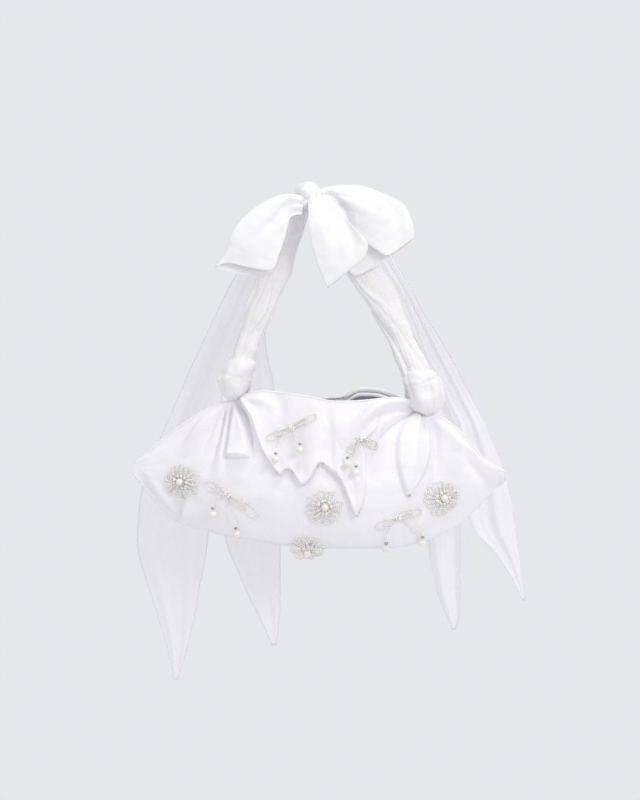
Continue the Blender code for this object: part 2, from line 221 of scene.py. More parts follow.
def clothFinish(name, look):
    material, tree, shader = newFinish(name)
    where = addNode(tree, "ShaderNodeTexCoord").outputs["Object"]
    creases = addNode(tree, "ShaderNodeTexNoise", None, Vector=where, Scale=look["creaseScale"],
                      Detail=4.0, Roughness=0.55, Distortion=0.6).outputs["Fac"]
    turned = addNode(tree, "ShaderNodeMapping", None, Vector=where)
    turned.inputs["Scale"].default_value = look["slubStretch"]
    slubs = addNode(tree, "ShaderNodeTexNoise", None, Vector=turned.outputs["Vector"],
                    Scale=look["slubScale"], Detail=3.0, Roughness=0.6).outputs["Fac"]
    warp = addNode(tree, "ShaderNodeTexWave", {"bands_direction": "X"}, Vector=where,
                   Scale=look["threadScale"], Distortion=1.5, Detail=2.0).outputs["Fac"]
    weft = addNode(tree, "ShaderNodeTexWave", {"bands_direction": "Z"}, Vector=where,
                   Scale=look["threadScale"] * look["weftShare"], Distortion=1.2, Detail=2.0).outputs["Fac"]
    weave = addNode(tree, "ShaderNodeMath", {"operation": "MULTIPLY"})
    tree.links.new(warp, weave.inputs[0])
    tree.links.new(weft, weave.inputs[1])
    patches = addNode(tree, "ShaderNodeTexNoise", None, Vector=where, Scale=look["patchScale"],
                      Detail=2.0).outputs["Fac"]
    blendIn = addNode(tree, "ShaderNodeMath", {"operation": "MULTIPLY_ADD"})
    tree.links.new(slubs, blendIn.inputs[0])
    blendIn.inputs[1].default_value = look["slubShare"]
    tree.links.new(patches, blendIn.inputs[2])
    amount = spread(tree, blendIn.outputs[0], 0.0, 1.0)
    tree.links.new(tint(tree, amount, look["shade"], look["light"]), shader.inputs["Base Color"])
    gloss = spread(tree, slubs, look["smooth"], look["rough"])
    tree.links.new(gloss, shader.inputs["Roughness"])
    normal = bumped(tree, creases, look["creaseDepth"], 1.0)
    normal = bumped(tree, slubs, look["slubDepth"], 0.6, normal)
    normal = bumped(tree, weave.outputs[0], look["threadDepth"], 0.5, normal)
    tree.links.new(normal, shader.inputs["Normal"])
    shader.inputs["Sheen Weight"].default_value = look["sheen"]
    shader.inputs["Sheen Roughness"].default_value = look["sheenSpread"]
    shader.inputs["Specular IOR Level"].default_value = look["shine"]
    shader.inputs["Alpha"].default_value = look.get("cover", 1.0)
    if "through" in look:  # thin cloth lets some light in from behind
        back = addNode(tree, "ShaderNodeBsdfTranslucent", None, Color=(*look["light"], 1.0))
        mixed = addNode(tree, "ShaderNodeMixShader", None, Fac=look["through"])
        out = next(n for n in tree.nodes if n.type == "OUTPUT_MATERIAL")
        tree.links.new(shader.outputs["BSDF"], mixed.inputs[1])
        tree.links.new(back.outputs["BSDF"], mixed.inputs[2])
        tree.links.new(mixed.outputs["Shader"], out.inputs["Surface"])
    return material


satinLook = {
    "light": (0.93, 0.914, 0.944),
    "shade": (0.885, 0.862, 0.900),
    "smooth": 0.34,
    "rough": 0.44,
    "shine": 0.42,
    "sheen": 0.18,
    "sheenSpread": 0.4,
    "creaseScale": 55.0,
    "creaseDepth": 0.0011,
    "slubScale": 240.0,
    "slubStretch": (1.0, 1.0, 0.16),
    "slubDepth": 0.00012,
    "slubShare": 0.35,
    "weftShare": 0.6,
    "threadScale": 420.0,
    "threadDepth": 0.00005,
    "patchScale": 14.0,
}
# A lighter copy of the pouch satin: painted light for the top-lit bow loops.
litSashLook = dict(satinLook, light=(0.965, 0.955, 0.972), shade=(0.93, 0.916, 0.938), creaseScale=70.0,
                creaseDepth=0.0009)
# A darker copy of the sash satin: painted shade for the creases of the gathered strands, knots and bow
# wrap.
shadedGatherLook = dict(litSashLook, light=(0.915, 0.898, 0.912), shade=(0.865, 0.845, 0.857), creaseScale=95.0,
                  creaseDepth=0.0014)
liningLook = dict(satinLook, light=(0.93, 0.92, 0.935), shade=(0.88, 0.87, 0.885), smooth=0.42, rough=0.55,
                  through=0.45)
chiffonLook = dict(satinLook, light=(0.97, 0.945, 0.98), shade=(0.94, 0.91, 0.955), smooth=0.5,
                   rough=0.62, shine=0.3, sheen=0.3, cover=0.46, creaseScale=38.0, creaseDepth=0.0013)
hemLook = dict(chiffonLook, light=(0.96, 0.95, 0.97), cover=0.62)

pouchSatin = clothFinish("pouchSatin", satinLook)
litSashSatin = clothFinish("litSashSatin", litSashLook)
shadedGatherSatin = clothFinish("shadedGatherSatin", shadedGatherLook)
liningSatin = clothFinish("liningSatin", liningLook)
tailChiffon = clothFinish("tailChiffon", chiffonLook)
rolledHem = clothFinish("rolledHem", hemLook)


def beadFinish(name, look):
    material, tree, shader = newFinish(name)
    where = addNode(tree, "ShaderNodeTexCoord").outputs["Object"]
    perBead = addNode(tree, "ShaderNodeTexNoise", None, Vector=where, Scale=look["varyScale"],
                      Detail=1.0).outputs["Fac"]
    fine = addNode(tree, "ShaderNodeTexNoise", None, Vector=where, Scale=look["fineScale"],
                   Detail=3.0).outputs["Fac"]
    amount = spread(tree, perBead, 0.0, 1.0)
    tree.links.new(tint(tree, amount, look["first"], look["second"]), shader.inputs["Base Color"])
    tree.links.new(spread(tree, fine, look["smooth"], look["rough"]), shader.inputs["Roughness"])
    tree.links.new(bumped(tree, fine, look["bumpDepth"], 0.4), shader.inputs["Normal"])
    shader.inputs["Metallic"].default_value = look.get("metal", 0.0)
    shader.inputs["Coat Weight"].default_value = look.get("coat", 0.0)
    shader.inputs["Coat Roughness"].default_value = 0.08
    shader.inputs["IOR"].default_value = look.get("glass", 1.5)
    shader.inputs["Transmission Weight"].default_value = look.get("clear", 0.0)
    return material


seedLook = {
    "first": (0.90, 0.88, 0.84),
    "second": (0.99, 0.985, 0.975),
    "smooth": 0.10,
    "rough": 0.24,
    "varyScale": 420.0,
    "fineScale": 2600.0,
    "bumpDepth": 0.00006,
    "metal": 0.06,
    "coat": 0.5,
}
warmSeedLook = dict(seedLook, first=(0.86, 0.79, 0.69), second=(0.97, 0.93, 0.87), metal=0.05)
rondelleLook = dict(seedLook, first=(0.20, 0.20, 0.22), second=(0.50, 0.50, 0.53), metal=0.9)
pearlLook = dict(seedLook, first=(0.87, 0.82, 0.76), second=(0.95, 0.91, 0.87), smooth=0.16, rough=0.26,
                 varyScale=160.0, metal=0.0, coat=0.5)
threadLook = dict(seedLook, first=(0.80, 0.79, 0.77), second=(0.90, 0.89, 0.88), metal=0.0, coat=0.0,
                  smooth=0.3, rough=0.45)

seedGlass = beadFinish("seedGlass", seedLook)
warmSeed = beadFinish("warmSeed", warmSeedLook)
rondelleMetal = beadFinish("rondelleMetal", rondelleLook)
pearlShell = beadFinish("pearlShell", pearlLook)
beadThread = beadFinish("beadThread", threadLook)
print("finishes ready")


# Shared shape helpers.
def toScene(name, points, faces, materials, slots=None):
    mesh = bpy.data.meshes.new(name)
    mesh.from_pydata([tuple(p) for p in points], [], [tuple(f) for f in faces])
    for material in materials:
        mesh.materials.append(material)
    if slots is not None:
        mesh.polygons.foreach_set("material_index", slots)
    mesh.shade_smooth()
    obj = bpy.data.objects.new(name, mesh)
    scene.collection.objects.link(obj)
    return obj


def curveBetween(a, b, c, d, t):
    # a smooth curve from b to c, which a and d steer
    return 0.5 * (2 * b + (c - a) * t + (2 * a - 5 * b + 4 * c - d) * t**2 + (3 * b - a - 3 * c + d) * t**3)


def smoothLine(points, count):
    pts = np.array(points, float)
    padded = np.vstack([2 * pts[0] - pts[1], pts, 2 * pts[-1] - pts[-2]])
    t = np.linspace(0, 1, 16, endpoint=False)[:, None]
    runs = [curveBetween(*four, t) for four in zip(padded, padded[1:], padded[2:], padded[3:])]
    dense = np.vstack(runs + [pts[-1:]])
    along = np.r_[0, np.cumsum(np.linalg.norm(np.diff(dense, axis=0), axis=1))]
    stops = np.linspace(0, along[-1], count)
    return np.stack([np.interp(stops, along, dense[:, k]) for k in range(dense.shape[1])], 1)


def smooth01(value, low, high):
    s = np.clip((value - low) / (high - low), 0, 1)
    return s * s * (3 - 2 * s)


def gridFaces(down, across, wrap=False):
    index = np.arange(down * across).reshape(down, across)
    if wrap:
        index = np.hstack([index, index[:, :1]])
    corners = (index[:-1, :-1], index[:-1, 1:], index[1:, 1:], index[1:, :-1])
    return np.stack(corners, -1).reshape(-1, 4)


def gridNormals(rows):
    down = np.gradient(rows, axis=0)
    across = np.gradient(rows, axis=1)
    normal = np.cross(across, down)
    return normal / np.maximum(np.linalg.norm(normal, axis=2, keepdims=True), 1e-12)


def clothPiece(name, rows, material, thickness, offset=0.0, flip=False):
    faces = gridFaces(*rows.shape[:2])
    if flip:
        faces = faces[:, ::-1]
    obj = toScene(name, rows.reshape(-1, 3).tolist(), faces.tolist(), [material])
    solid = obj.modifiers.new("clothThickness", "SOLIDIFY")
    solid.thickness = thickness
    solid.offset = offset
    graph = bpy.context.evaluated_depsgraph_get()
    obj.data = bpy.data.meshes.new_from_object(obj.evaluated_get(graph))
    obj.modifiers.clear()
    obj.data.name = name
    return obj


def roundPiece(name, rings, material):
    # a closed form from rings of points, its two ends filled with a fan
    down, across = rings.shape[:2]
    points = rings.reshape(-1, 3).tolist()
    faces = gridFaces(down, across, wrap=True).tolist()
    first, last = len(points), len(points) + 1
    points.append(rings[0].mean(0).tolist())
    points.append(rings[-1].mean(0).tolist())
    base = (down - 1) * across
    for k in range(across):
        step = (k + 1) % across
        faces.append((first, step, k))
        faces.append((last, base + k, base + step))
    return toScene(name, points, faces, [material])


def ripple(points, scale, seed):
    shift = Vector((seed * 7.13, seed * 3.71, seed * 5.37))
    flat = points.reshape(-1, 3)
    values = [noise.noise(Vector(p) * scale + shift) for p in flat.tolist()]
    return np.array(values).reshape(points.shape[:-1])


def nearLine(x, z, line):
    # distance to a line of (x, z) points, the side it is on, and how far along it is
    path = smoothLine(line, 28)
    start, step = path[:-1], np.diff(path, axis=0)
    lengths = np.linalg.norm(step, axis=1)
    dx = x[..., None] - start[:, 0]
    dz = z[..., None] - start[:, 1]
    t = np.clip((dx * step[:, 0] + dz * step[:, 1]) / lengths**2, 0, 1)
    ox = dx - t * step[:, 0]
    oz = dz - t * step[:, 1]
    gap = np.hypot(ox, oz)
    best = gap.argmin(-1)
    take = best[..., None]
    side = np.take_along_axis(step[:, 0] * oz - step[:, 1] * ox, take, -1)[..., 0]
    starts = np.r_[0, np.cumsum(lengths)[:-1]]
    along = (starts[best] + np.take_along_axis(t, take, -1)[..., 0] * lengths[best]) / lengths.sum()
    return np.take_along_axis(gap, take, -1)[..., 0], np.sign(side), along


def windings(x, z, line, closing=()):
    # whether each point is inside the line, closed through the closing points
    path = np.vstack([smoothLine(line, 60), *[[c] for c in closing], [line[0]]])
    inside = np.zeros(x.shape, bool)
    for (ax, az), (bx, bz) in zip(path[:-1], path[1:]):
        crossing = (az > z) != (bz > z)
        rise = (bz - az) if abs(bz - az) > 1e-9 else 1e-9
        run = (bx - ax) * (z - az) / rise + ax
        inside ^= crossing & (x < run)
    return inside


def foldHeight(x, z, fold):
    # how far one fold lifts the cloth, in metres; x and z are in metres
    kind, line, widths, heights = fold[:4]
    if kind == "patch":
        line = (*line, line[0])
    gap, side, along = nearLine(x / mm, z / mm, line)
    width = np.interp(along, np.linspace(0, 1, len(widths)), widths)
    height = np.interp(along, np.linspace(0, 1, len(heights)), heights)
    if kind == "roll":
        shape = np.exp(-((gap / width) ** 2))
    elif kind == "crease":  # narrow at the bottom, with soft shoulders
        shape = np.exp(-((gap / width) ** 1.3))
    elif kind == "roof":  # a sharp crest
        shape = np.clip(1 - gap / width, 0, 1)
    elif kind == "patch":  # a raised piece inside a closed line
        inside = np.where(windings(x / mm, z / mm, line), gap, -gap)
        shape = smooth01(inside, -0.5, width)
    elif kind == "lip":  # raised above the line, with a sharp edge at it
        inside = np.where(windings(x / mm, z / mm, line, fold[4]), gap, -gap)
        shape = smooth01(inside, -0.7, 0.5) * np.exp(-np.maximum(inside, 0) / width)
    else:  # a pleat whose far side is steep, on the right of the line
        soft = np.exp(-((gap / width) ** 2))
        steep = np.exp(-((gap / (0.22 * width)) ** 2))
        shape = np.where(gap * side > 0, soft, steep)
    return height * shape * mm


def meshTree(mesh):
    corners = [v.co.copy() for v in mesh.vertices]
    return BVHTree.FromPolygons(corners, [tuple(p.vertices) for p in mesh.polygons])


def cadTree(node):
    return meshTree(frame["nodes"][node].data)


def pivotOf(body):
    return next(joint["pos_m"] for joint in frame["joints"] if joint["child"] == body)


def hit(tree, origin, way):
    return tree.ray_cast(Vector(origin), Vector(way).normalized())[0]


def newBuild():
    return {"points": [], "faces": [], "slots": [], "count": 0}


def ballTemplate(detail):
    shape = bmesh.new()
    bmesh.ops.create_icosphere(shape, subdivisions=detail, radius=1)
    points = np.array([v.co[:] for v in shape.verts])
    faces = np.array([[v.index for v in f.verts] for f in shape.faces])
    shape.free()
    return points, faces


balls = {detail: ballTemplate(detail) for detail in (2, 3, 4)}


def addBall(build, centre, radius, slot=0, detail=2, axis=None, squash=1.0):
    points, faces = balls[detail]
    if axis is not None:
        way = np.array(Vector(axis).normalized())
        points = points + (squash - 1) * np.outer(points @ way, way)
    build["points"].append(points * radius + np.array(centre))
    build["faces"] += (faces + build["count"]).tolist()
    build["slots"] += [slot] * len(faces)
    build["count"] += len(points)


def addTube(build, path, radius, slot=0, sides=6):
    path = np.array(path, float)
    ways = np.gradient(path, axis=0)
    ways /= np.maximum(np.linalg.norm(ways, axis=1, keepdims=True), 1e-12)
    guide = np.array((0.31, -0.93, 0.2))
    first = np.cross(ways, guide)
    first /= np.maximum(np.linalg.norm(first, axis=1, keepdims=True), 1e-12)
    second = np.cross(ways, first)
    angles = np.linspace(0, 2 * math.pi, sides, endpoint=False)
    radii = np.broadcast_to(np.asarray(radius, float), len(path))
    rings = (path[:, None] + radii[:, None, None] * (np.cos(angles)[None, :, None] * first[:, None]
             + np.sin(angles)[None, :, None] * second[:, None]))
    faces = gridFaces(len(path), sides, wrap=True)
    ends = [list(range(sides)), list(range((len(path) - 1) * sides, len(path) * sides))[::-1]]
    build["points"].append(rings.reshape(-1, 3))
    build["faces"] += (faces[:, ::-1] + build["count"]).tolist()
    build["faces"] += [[k + build["count"] for k in end] for end in ends]
    build["slots"] += [slot] * (len(faces) + 2)
    build["count"] += rings.shape[0] * sides


def finishBuild(name, build, materials):
    return toScene(name, np.vstack(build["points"]), build["faces"], materials, build["slots"])


# Pouch: a soft shell round the space of the three panels, with its drape and pleats.
pouchShape = {
    "stations": 45,
    "columns": 296,
    "dense": (0.16, 0.885),  # share of the length where the columns are close together
    "frontRows": 112,
    "baseRows": 10,
    "backRows": 44,
    "cloth": 0.0005,
    "inset": 0.0004,
    "ruffle": 0.00045,
    "scanStep": 0.0012,
    "endRoom": 0.0006,
    "baseRoom": 0.0019,
    "footTurn": ((0.93, 0.0016), (0.72, 0.0002)),  # share of the depth, and height above the base
    "dropRoom": 0.0012,
    "dropDown": 0.006,
    "dropNear": 0.0085,
    "dropSpread": 0.024,
    "backRimDrop": 0.0060,
    "dropFrom": (-0.046, -0.030),  # where the lowered stretch of the back rim starts and ends
    "dropTo": (0.041, 0.024),
    "dropRows": 26,
    "seamGap": 0.0013,
    "wingStart": (0.020, 0.002),  # how far before each knot the rims start to close, and are closed
    "wingDepth": 0.011,
    "endSeam": 0.007,
    "rolls": ((0.0008, 0.0008, 0.0018), (0.0041, 0.0030, 0.0018)),
    "rollReach": (0.027, 0.080),
    "hem": 0.00085,
    "hemLift": ((0, -0.0003), (-1, 0.0003)),  # row, and how far its hem stands off the cloth
    "hemSink": 0.0002,
    "gatherShift": (-0.002, -0.001),  # from each knot's middle to where its gathers start
    "calmEnds": 0.012,
    "ripples": ((46.0, 3, 1.6), (110.0, 5, 0.7)),  # scale, seed and share of the ruffle
    "rollTaper": 0.012,
}

# Folds are (kind, line, widths, heights) in millimetres, lines as (x, z) seen from the front.
frontFolds = {
    "leftInnerCrease": ("crease", ((-60.2, -140), (-63.5, -161), (-68.5, -179), (-77, -199)),
                        (1.5, 2.6, 2.2), (-4.2, -5.0, -3.4, 0)),
    "leftLongRoll": ("roll", ((-58.3, -139), (-61.2, -161), (-64.2, -179), (-66, -199)),
                     (1.8, 3.4), (2.4, 3.6, 3.0, 0.2)),
    "leftSecondCrease": ("crease", ((-56.2, -140), (-58.6, -156), (-60.2, -176), (-60.5, -190)),
                         (1.3, 1.8), (-3.6, -4.2, -3.0, 0)),
    "boxPleat": ("patch", ((-54.5, -140.5), (-57.2, -158), (-59.2, -179.5), (-51, -180.5), (-43.2, -179.5),
                           (-44.8, -166), (-49.5, -152), (-52, -140.5)), (1.6,), (3.2,)),
    "boxPleatLip": ("lip", ((-59.5, -180.4), (-51, -181.2), (-43, -180.4)), (6.0,), (4.2, 4.6, 4.2),
                    ((-44, -150), (-51, -141), (-57, -150))),
    "boxPleatGroove": ("crease", ((-52.5, -142), (-52.2, -152), (-52.5, -163)),
                       (1.2, 1.6), (-2.0, -2.2, 0)),
    "cowlCrease": ("crease", ((-52, -139.5), (-45.6, -152.5), (-42.4, -164), (-41.8, -180)),
                   (1.4, 2.2), (-3.8, -6.0, -4.6, -1.6)),
    "cowlRoll": ("roll", ((-49.5, -138), (-40.2, -151), (-37.6, -164), (-34.5, -176)),
                 (2.0, 3.4, 2.8), (3.8, 4.4, 2.6, 0.6)),
    "cowlHollow": ("roll", ((-22, -137), (-19.5, -145), (-25, -156)), (4.6, 6.6), (-1.6, -3.2, -0.8)),
    "cowlTopRoll": ("roll", ((-46, -139), (-34, -139.5), (-22, -146)), (2.6, 4.0), (2.6, 2.4, 0.4)),
    "cowlMiddle": ("roll", ((4, -141), (6, -160), (2, -184)), (9.0, 8.0), (0.6, 2.2, 2.0)),
    "cowlValley": ("step", ((21, -143), (21.8, -160), (22.5, -189)), (16.0, 12.0), (1.4, 2.8, 1.8)),
    "leftWingRoll": ("step", ((-62, -140), (-74, -150), (-86, -165), (-95, -180)),
                     (5.0, 7.0), (3.8, 4.2, 2.8, 0)),
    "leftWingValley": ("crease", ((-61, -141.5), (-71, -160), (-79, -182)), (1.6, 3.4), (-3.6, -3.4, 0)),
    "leftEndTurn": ("roll", ((-134, -198), (-117, -221), (-96, -243)), (8.0, 7.0), (-4.0, -5.2, -3.0)),
    "leftEndRidge": ("roll", ((-125, -190), (-108, -212), (-95, -228)), (3.0, 3.4), (0.6, 2.0, 1.8)),
    "leftEndFold": ("step", ((-90, -206), (-92.5, -222), (-97, -238)), (5.0,), (0.6, 3.2, 3.2)),
    "rightRimRoll": ("roll", ((84, -141), (66, -140.5), (50.3, -145.5), (38.5, -157.5), (33.5, -168)),
                     (3.2, 4.4, 3.0), (3.6, 5.0, 4.4, 0.8)),
    "rightRimLine": ("crease", ((78, -147), (62, -147), (50, -152.5), (42, -163)),
                     (1.2, 1.6), (-1.6, -2.2, -0.6)),
    "rightValley": ("crease", ((80.5, -148.5), (68, -155), (56.5, -165), (48.8, -180), (46.3, -194)),
                    (1.8, 4.2), (-3.4, -5.0, -2.8)),
    "leaf": ("patch", ((82, -148), (75.5, -152.5), (69.0, -161), (66.5, -172), (67.0, -185), (70.3, -199),
                       (74.8, -211), (79.5, -205), (86.2, -195), (91.3, -182), (92.0, -168), (86.5, -151)),
             (1.2,), (4.2,)),
    "leafMiddle": ("roof", ((84, -150), (80.5, -166), (77.8, -190), (75.5, -207)),
                   (9.0, 12.0, 7.0), (2.0, 3.4, 3.2, 0)),
    "leafGroove": ("crease", ((85.5, -151), (86.8, -160), (86.5, -172)), (1.1, 1.5), (-2.0, -2.4, 0)),
    "rightSoftValley": ("roll", ((90.8, -149), (97, -165), (97, -191), (90, -218)),
                        (2.2, 4.6), (-3.0, -4.0, -0.6)),
    "rightOuterRoll": ("step", ((116.5, -188), (114.5, -173), (106.5, -159.5), (93.5, -148.5)), (8.0, 6.0),
                       (0.4, 3.6, 4.4, 3.0)),
    "rightRimCrease": ("crease", ((96, -147), (112, -160), (119, -170)), (1.3, 2.0), (-3.2, -3.6, -1.0)),
    "rightWingRoll": ("roll", ((121, -169), (137, -185), (149, -196)), (4.4, 3.4), (1.6, 3.0, 2.4)),
    "rightWingDent": ("roll", ((116, -178), (128, -194), (138, -206)), (4.4, 3.4), (-1.6, -2.4, -1.4)),
    "footCrease": ("step", ((91, -214), (84, -230), (74, -248)), (7.0,), (0.6, 2.6, 2.4)),
    "centreSag": ("roll", ((-40, -212), (0, -222), (50, -222)), (16.0,), (0.6, 1.2, 0.6)),
    "leftBellyDent": ("roll", ((-36, -196), (-40, -214), (-34, -232)), (9.0,), (-1.4, -1.8, -0.6)),
    "rightBellyDent": ("roll", ((104, -190), (108, -206), (116, -222)), (6.0,), (-0.8, -1.4, 0)),
}
cowlEdge = ((-50, -139), (-39.5, -152.5), (-36.5, -166), (-31, -179), (-20.5, -193.5), (-13.5, -188.5),
            (-3, -201), (3.5, -196), (9.5, -184.5), (18, -190), (25.5, -198), (31.5, -213), (36, -223.5),
            (40.5, -216), (43, -204), (44.5, -191), (44.0, -181), (40.5, -170))
cowlLift = {
    "width": 15.0,
    "heights": (1.4, 3.6, 4.6, 5.2, 5.2, 5.0, 5.6, 5.4, 3.2),
    "closing": ((52, -160), (60, -120), (-60, -120)),
}
backFolds = {
    "backLeftA": ("roll", ((-56, -142), (-66, -165), (-84, -196)), (1.8, 4.6), (3.0, 3.2, 0.2)),
    "backLeftB": ("roll", ((-54, -142), (-54, -168), (-58, -205)), (1.8, 4.8), (3.2, 3.6, 0.2)),
    "backLeftC": ("roll", ((-52, -141), (-40, -160), (-26, -188)), (1.8, 4.6), (3.2, 3.4, 0.2)),
    "backLeftD": ("roll", ((-49, -139), (-26, -148), (2, -166)), (2.0, 5.0), (2.4, 2.6, 0.2)),
    "backRightA": ("roll", ((88, -151), (98, -172), (112, -198)), (1.8, 4.6), (3.0, 3.2, 0.2)),
    "backRightB": ("roll", ((86, -151), (84, -176), (86, -214)), (1.8, 4.8), (3.2, 3.8, 0.2)),
    "backRightC": ("roll", ((83, -150), (70, -166), (58, -194)), (1.8, 4.6), (3.2, 3.4, 0.2)),
    "backRightD": ("roll", ((80, -147), (58, -150), (34, -164)), (2.0, 5.0), (2.2, 2.6, 0.2)),
    "backSwag": ("roll", ((-46, -150), (14, -178), (76, -156)), (7.0,), (0.6, 3.0, 0.6)),
    "backBelly": ("roll", ((-60, -215), (14, -226), (84, -216)), (12.0,), (0.8, 2.2, 0.8)),
}


def panelSection(tree, side, x, rows):
    # one slice of a panel: points from its rim down to its foot
    def yAt(z):
        found = hit(tree, (x, side * farOff, z), (0, -side, 0))
        return None if found is None else found.y

    step = pouchShape["scanStep"]
    seen = [z for z in np.arange(cadLow.z, cadHigh.z, step) if yAt(z) is not None]
    ends = []
    for inside, outside in ((seen[-1], seen[-1] + step), (seen[0], seen[0] - step)):
        for _ in range(9):
            middle = (inside + outside) / 2
            if yAt(middle) is None:
                outside = middle
            else:
                inside = middle
        ends.append(inside)
    return [Vector((x, yAt(z), z)) for z in np.linspace(ends[0], ends[1], rows)]


def pouchSections():
    shape = pouchShape
    front, back = cadTree("front_panel"), cadTree("back_panel")
    low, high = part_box("front_panel")
    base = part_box("base_panel")[0].z
    sections = []
    for x in np.linspace(low.x + shape["endRoom"], high.x - shape["endRoom"], shape["stations"]):
        ahead = panelSection(front, -1, x, 15)
        behind = panelSection(back, 1, x, 15)
        deep = (behind[-1].y - ahead[-1].y) / 2
        middle = (behind[-1].y + ahead[-1].y) / 2
        under = max(base, ahead[-1].z - shape["baseRoom"])
        frontLine = smoothLine([p[:] for p in ahead[:-1]], shape["frontRows"])
        backLine = smoothLine([p[:] for p in behind[:-1]], shape["backRows"])[::-1]
        toBase = [(x, middle - deep * share, under + rise) for share, rise in shape["footTurn"]]
        fromBase = [(x, middle + deep * share, under + rise) for share, rise in shape["footTurn"][::-1]]
        turn = [frontLine[-1], *toBase, (x, middle, under), *fromBase, backLine[0]]
        baseLine = smoothLine(turn, shape["baseRows"] + 2)[1:-1]
        sections.append(np.vstack([frontLine, baseLine, backLine]))
    return np.array(sections)


def refineAcross(sections, count):
    low, high = pouchShape["dense"]
    share = np.linspace(0, 1, 400)
    weight = 0.5 + smooth01(share, low - 0.03, low + 0.03) * smooth01(-share, -high - 0.03, -high + 0.03)
    passed = np.r_[0, np.cumsum((weight[1:] + weight[:-1]) / 2)]
    stops = np.interp(np.linspace(0, passed[-1], count), passed, share) * (len(sections) - 1)
    first = np.clip(stops.astype(int), 0, len(sections) - 2)
    t = (stops - first)[:, None, None]
    four = [sections[np.clip(first + k, 0, len(sections) - 1)] for k in (-1, 0, 1, 2)]
    return curveBetween(*four, t)


def clearDrops(x, z, field):
    # eases the cloth back, broadly and smoothly, where it would come too near a drop
    for joint in frame["joints"]:
        if not joint["name"].startswith("drop_"):
            continue
        px, _, pz = joint["pos_m"]
        gap = np.hypot(x - px, z - (pz - pouchShape["dropDown"]))
        excess = field[gap < pouchShape["dropNear"]].max() - pouchShape["dropRoom"]
        if excess > 0:
            field = field - excess * np.exp(-((gap / pouchShape["dropSpread"]) ** 4))
    return field


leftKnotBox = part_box("knot_left")
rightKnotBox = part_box("knot_right")
leftKnotX = frame["joints"][0]["pos_m"][0]
rightKnotX = (rightKnotBox[0].x + rightKnotBox[1].x) / 2
gathers = {"height": 0.0011, "reach": 0.017, "start": (0.001, 0.006), "angle": (2.2, 1.5)}


def gatherRays(x, z, foot, count, seed):
    # fine gathers that fan out under a knot
    dx, dz = x - foot[0], z - foot[1]
    reach = np.hypot(dx, dz)
    angle = np.arctan2(dx, -dz)
    widest, full = gathers["angle"]
    below = smooth01(-np.abs(angle), -widest, -full)
    rays = np.cos(angle * count + seed + 3.0 * np.sin(angle * 2.3 + seed))
    fade = np.exp(-((reach / gathers["reach"]) ** 2))
    return gathers["height"] * rays * below * fade * smooth01(reach, *gathers["start"])


def foldSum(x, z, folds):
    total = np.zeros_like(x)
    for fold in folds.values():
        total += foldHeight(x, z, fold)
    return total


def pouchFoldField(grid):
    shape = pouchShape
    x, z = grid[..., 0], grid[..., 2]
    rows = np.arange(grid.shape[1])
    frontEnd = shape["frontRows"]
    backStart = frontEnd + shape["baseRows"]
    onFront = 1 - smooth01(rows, frontEnd - 3, frontEnd + 4)
    onBack = smooth01(rows, backStart - 4, backStart + 3)
    leftShift, rightShift = shape["gatherShift"]
    leftFoot = (leftKnotX + leftShift, leftKnotBox[0].z)
    rightFoot = (rightKnotX + rightShift, rightKnotBox[0].z)
    front = foldSum(x, z, frontFolds)
    edge = ("lip", cowlEdge, (cowlLift["width"],), cowlLift["heights"], cowlLift["closing"])
    front += foldHeight(x, z, edge)
    front += gatherRays(x, z, leftFoot, 9.0, 0.4) + gatherRays(x, z, rightFoot, 9.0, 1.7)
    onFace = x[:, :frontEnd], z[:, :frontEnd]
    front[:, :frontEnd] = clearDrops(*onFace, front[:, :frontEnd])
    back = foldSum(x, z, backFolds)
    back += gatherRays(x, z, leftFoot, 10.0, 2.1) + gatherRays(x, z, rightFoot, 10.0, 4.2)
    ends = smooth01(np.minimum(x - x.min(), x.max() - x), 0.0, shape["calmEnds"])
    field = (front * onFront + back * onBack) * (0.10 + 0.90 * ends)
    ruffle = shape["ruffle"]
    field += sum(ripple(grid, scale, seed) * ruffle * share for scale, seed, share in shape["ripples"])
    return field


def closeWings(grid):
    # beyond the knots the two rims are drawn together, and each end closes in a seam
    grid = grid.copy()
    shape = pouchShape
    x, rimZ = grid[:, :1, 0], grid[:, :1, 2]
    start, end = shape["wingStart"]
    beyondLeft = smooth01(-x, -leftKnotX - start, -leftKnotX - end)
    beyondRight = smooth01(x, rightKnotX - start, rightKnotX - end)
    beyond = np.maximum(beyondLeft, beyondRight)
    middle = (grid[:, :1, 1] + grid[:, -1:, 1]) / 2
    turns = (shape["frontRows"], grid.shape[1] - shape["backRows"])
    side = np.clip(np.interp(np.arange(grid.shape[1]), turns, (-1, 1)), -1, 1)[None, :]
    near = np.exp(-(((rimZ - grid[..., 2]) / shape["wingDepth"]) ** 2)) * beyond
    gap = shape["seamGap"]
    ahead = side < 0
    rimY = np.where(ahead, grid[:, :1, 1], grid[:, -1:, 1])
    grid[..., 1] += (middle + side * gap - rimY) * near * np.abs(side)
    backShift = (rimZ - grid[:, -1:, 2]) * near
    grid[..., 2] += np.where(ahead, 0.0, backShift)
    ends = 1 - smooth01(np.minimum(x - x.min(), x.max() - x), 0.0, shape["endSeam"])
    grid[..., 1] = middle + (grid[..., 1] - middle) * (1 - ends) + side * gap * ends
    return grid, near


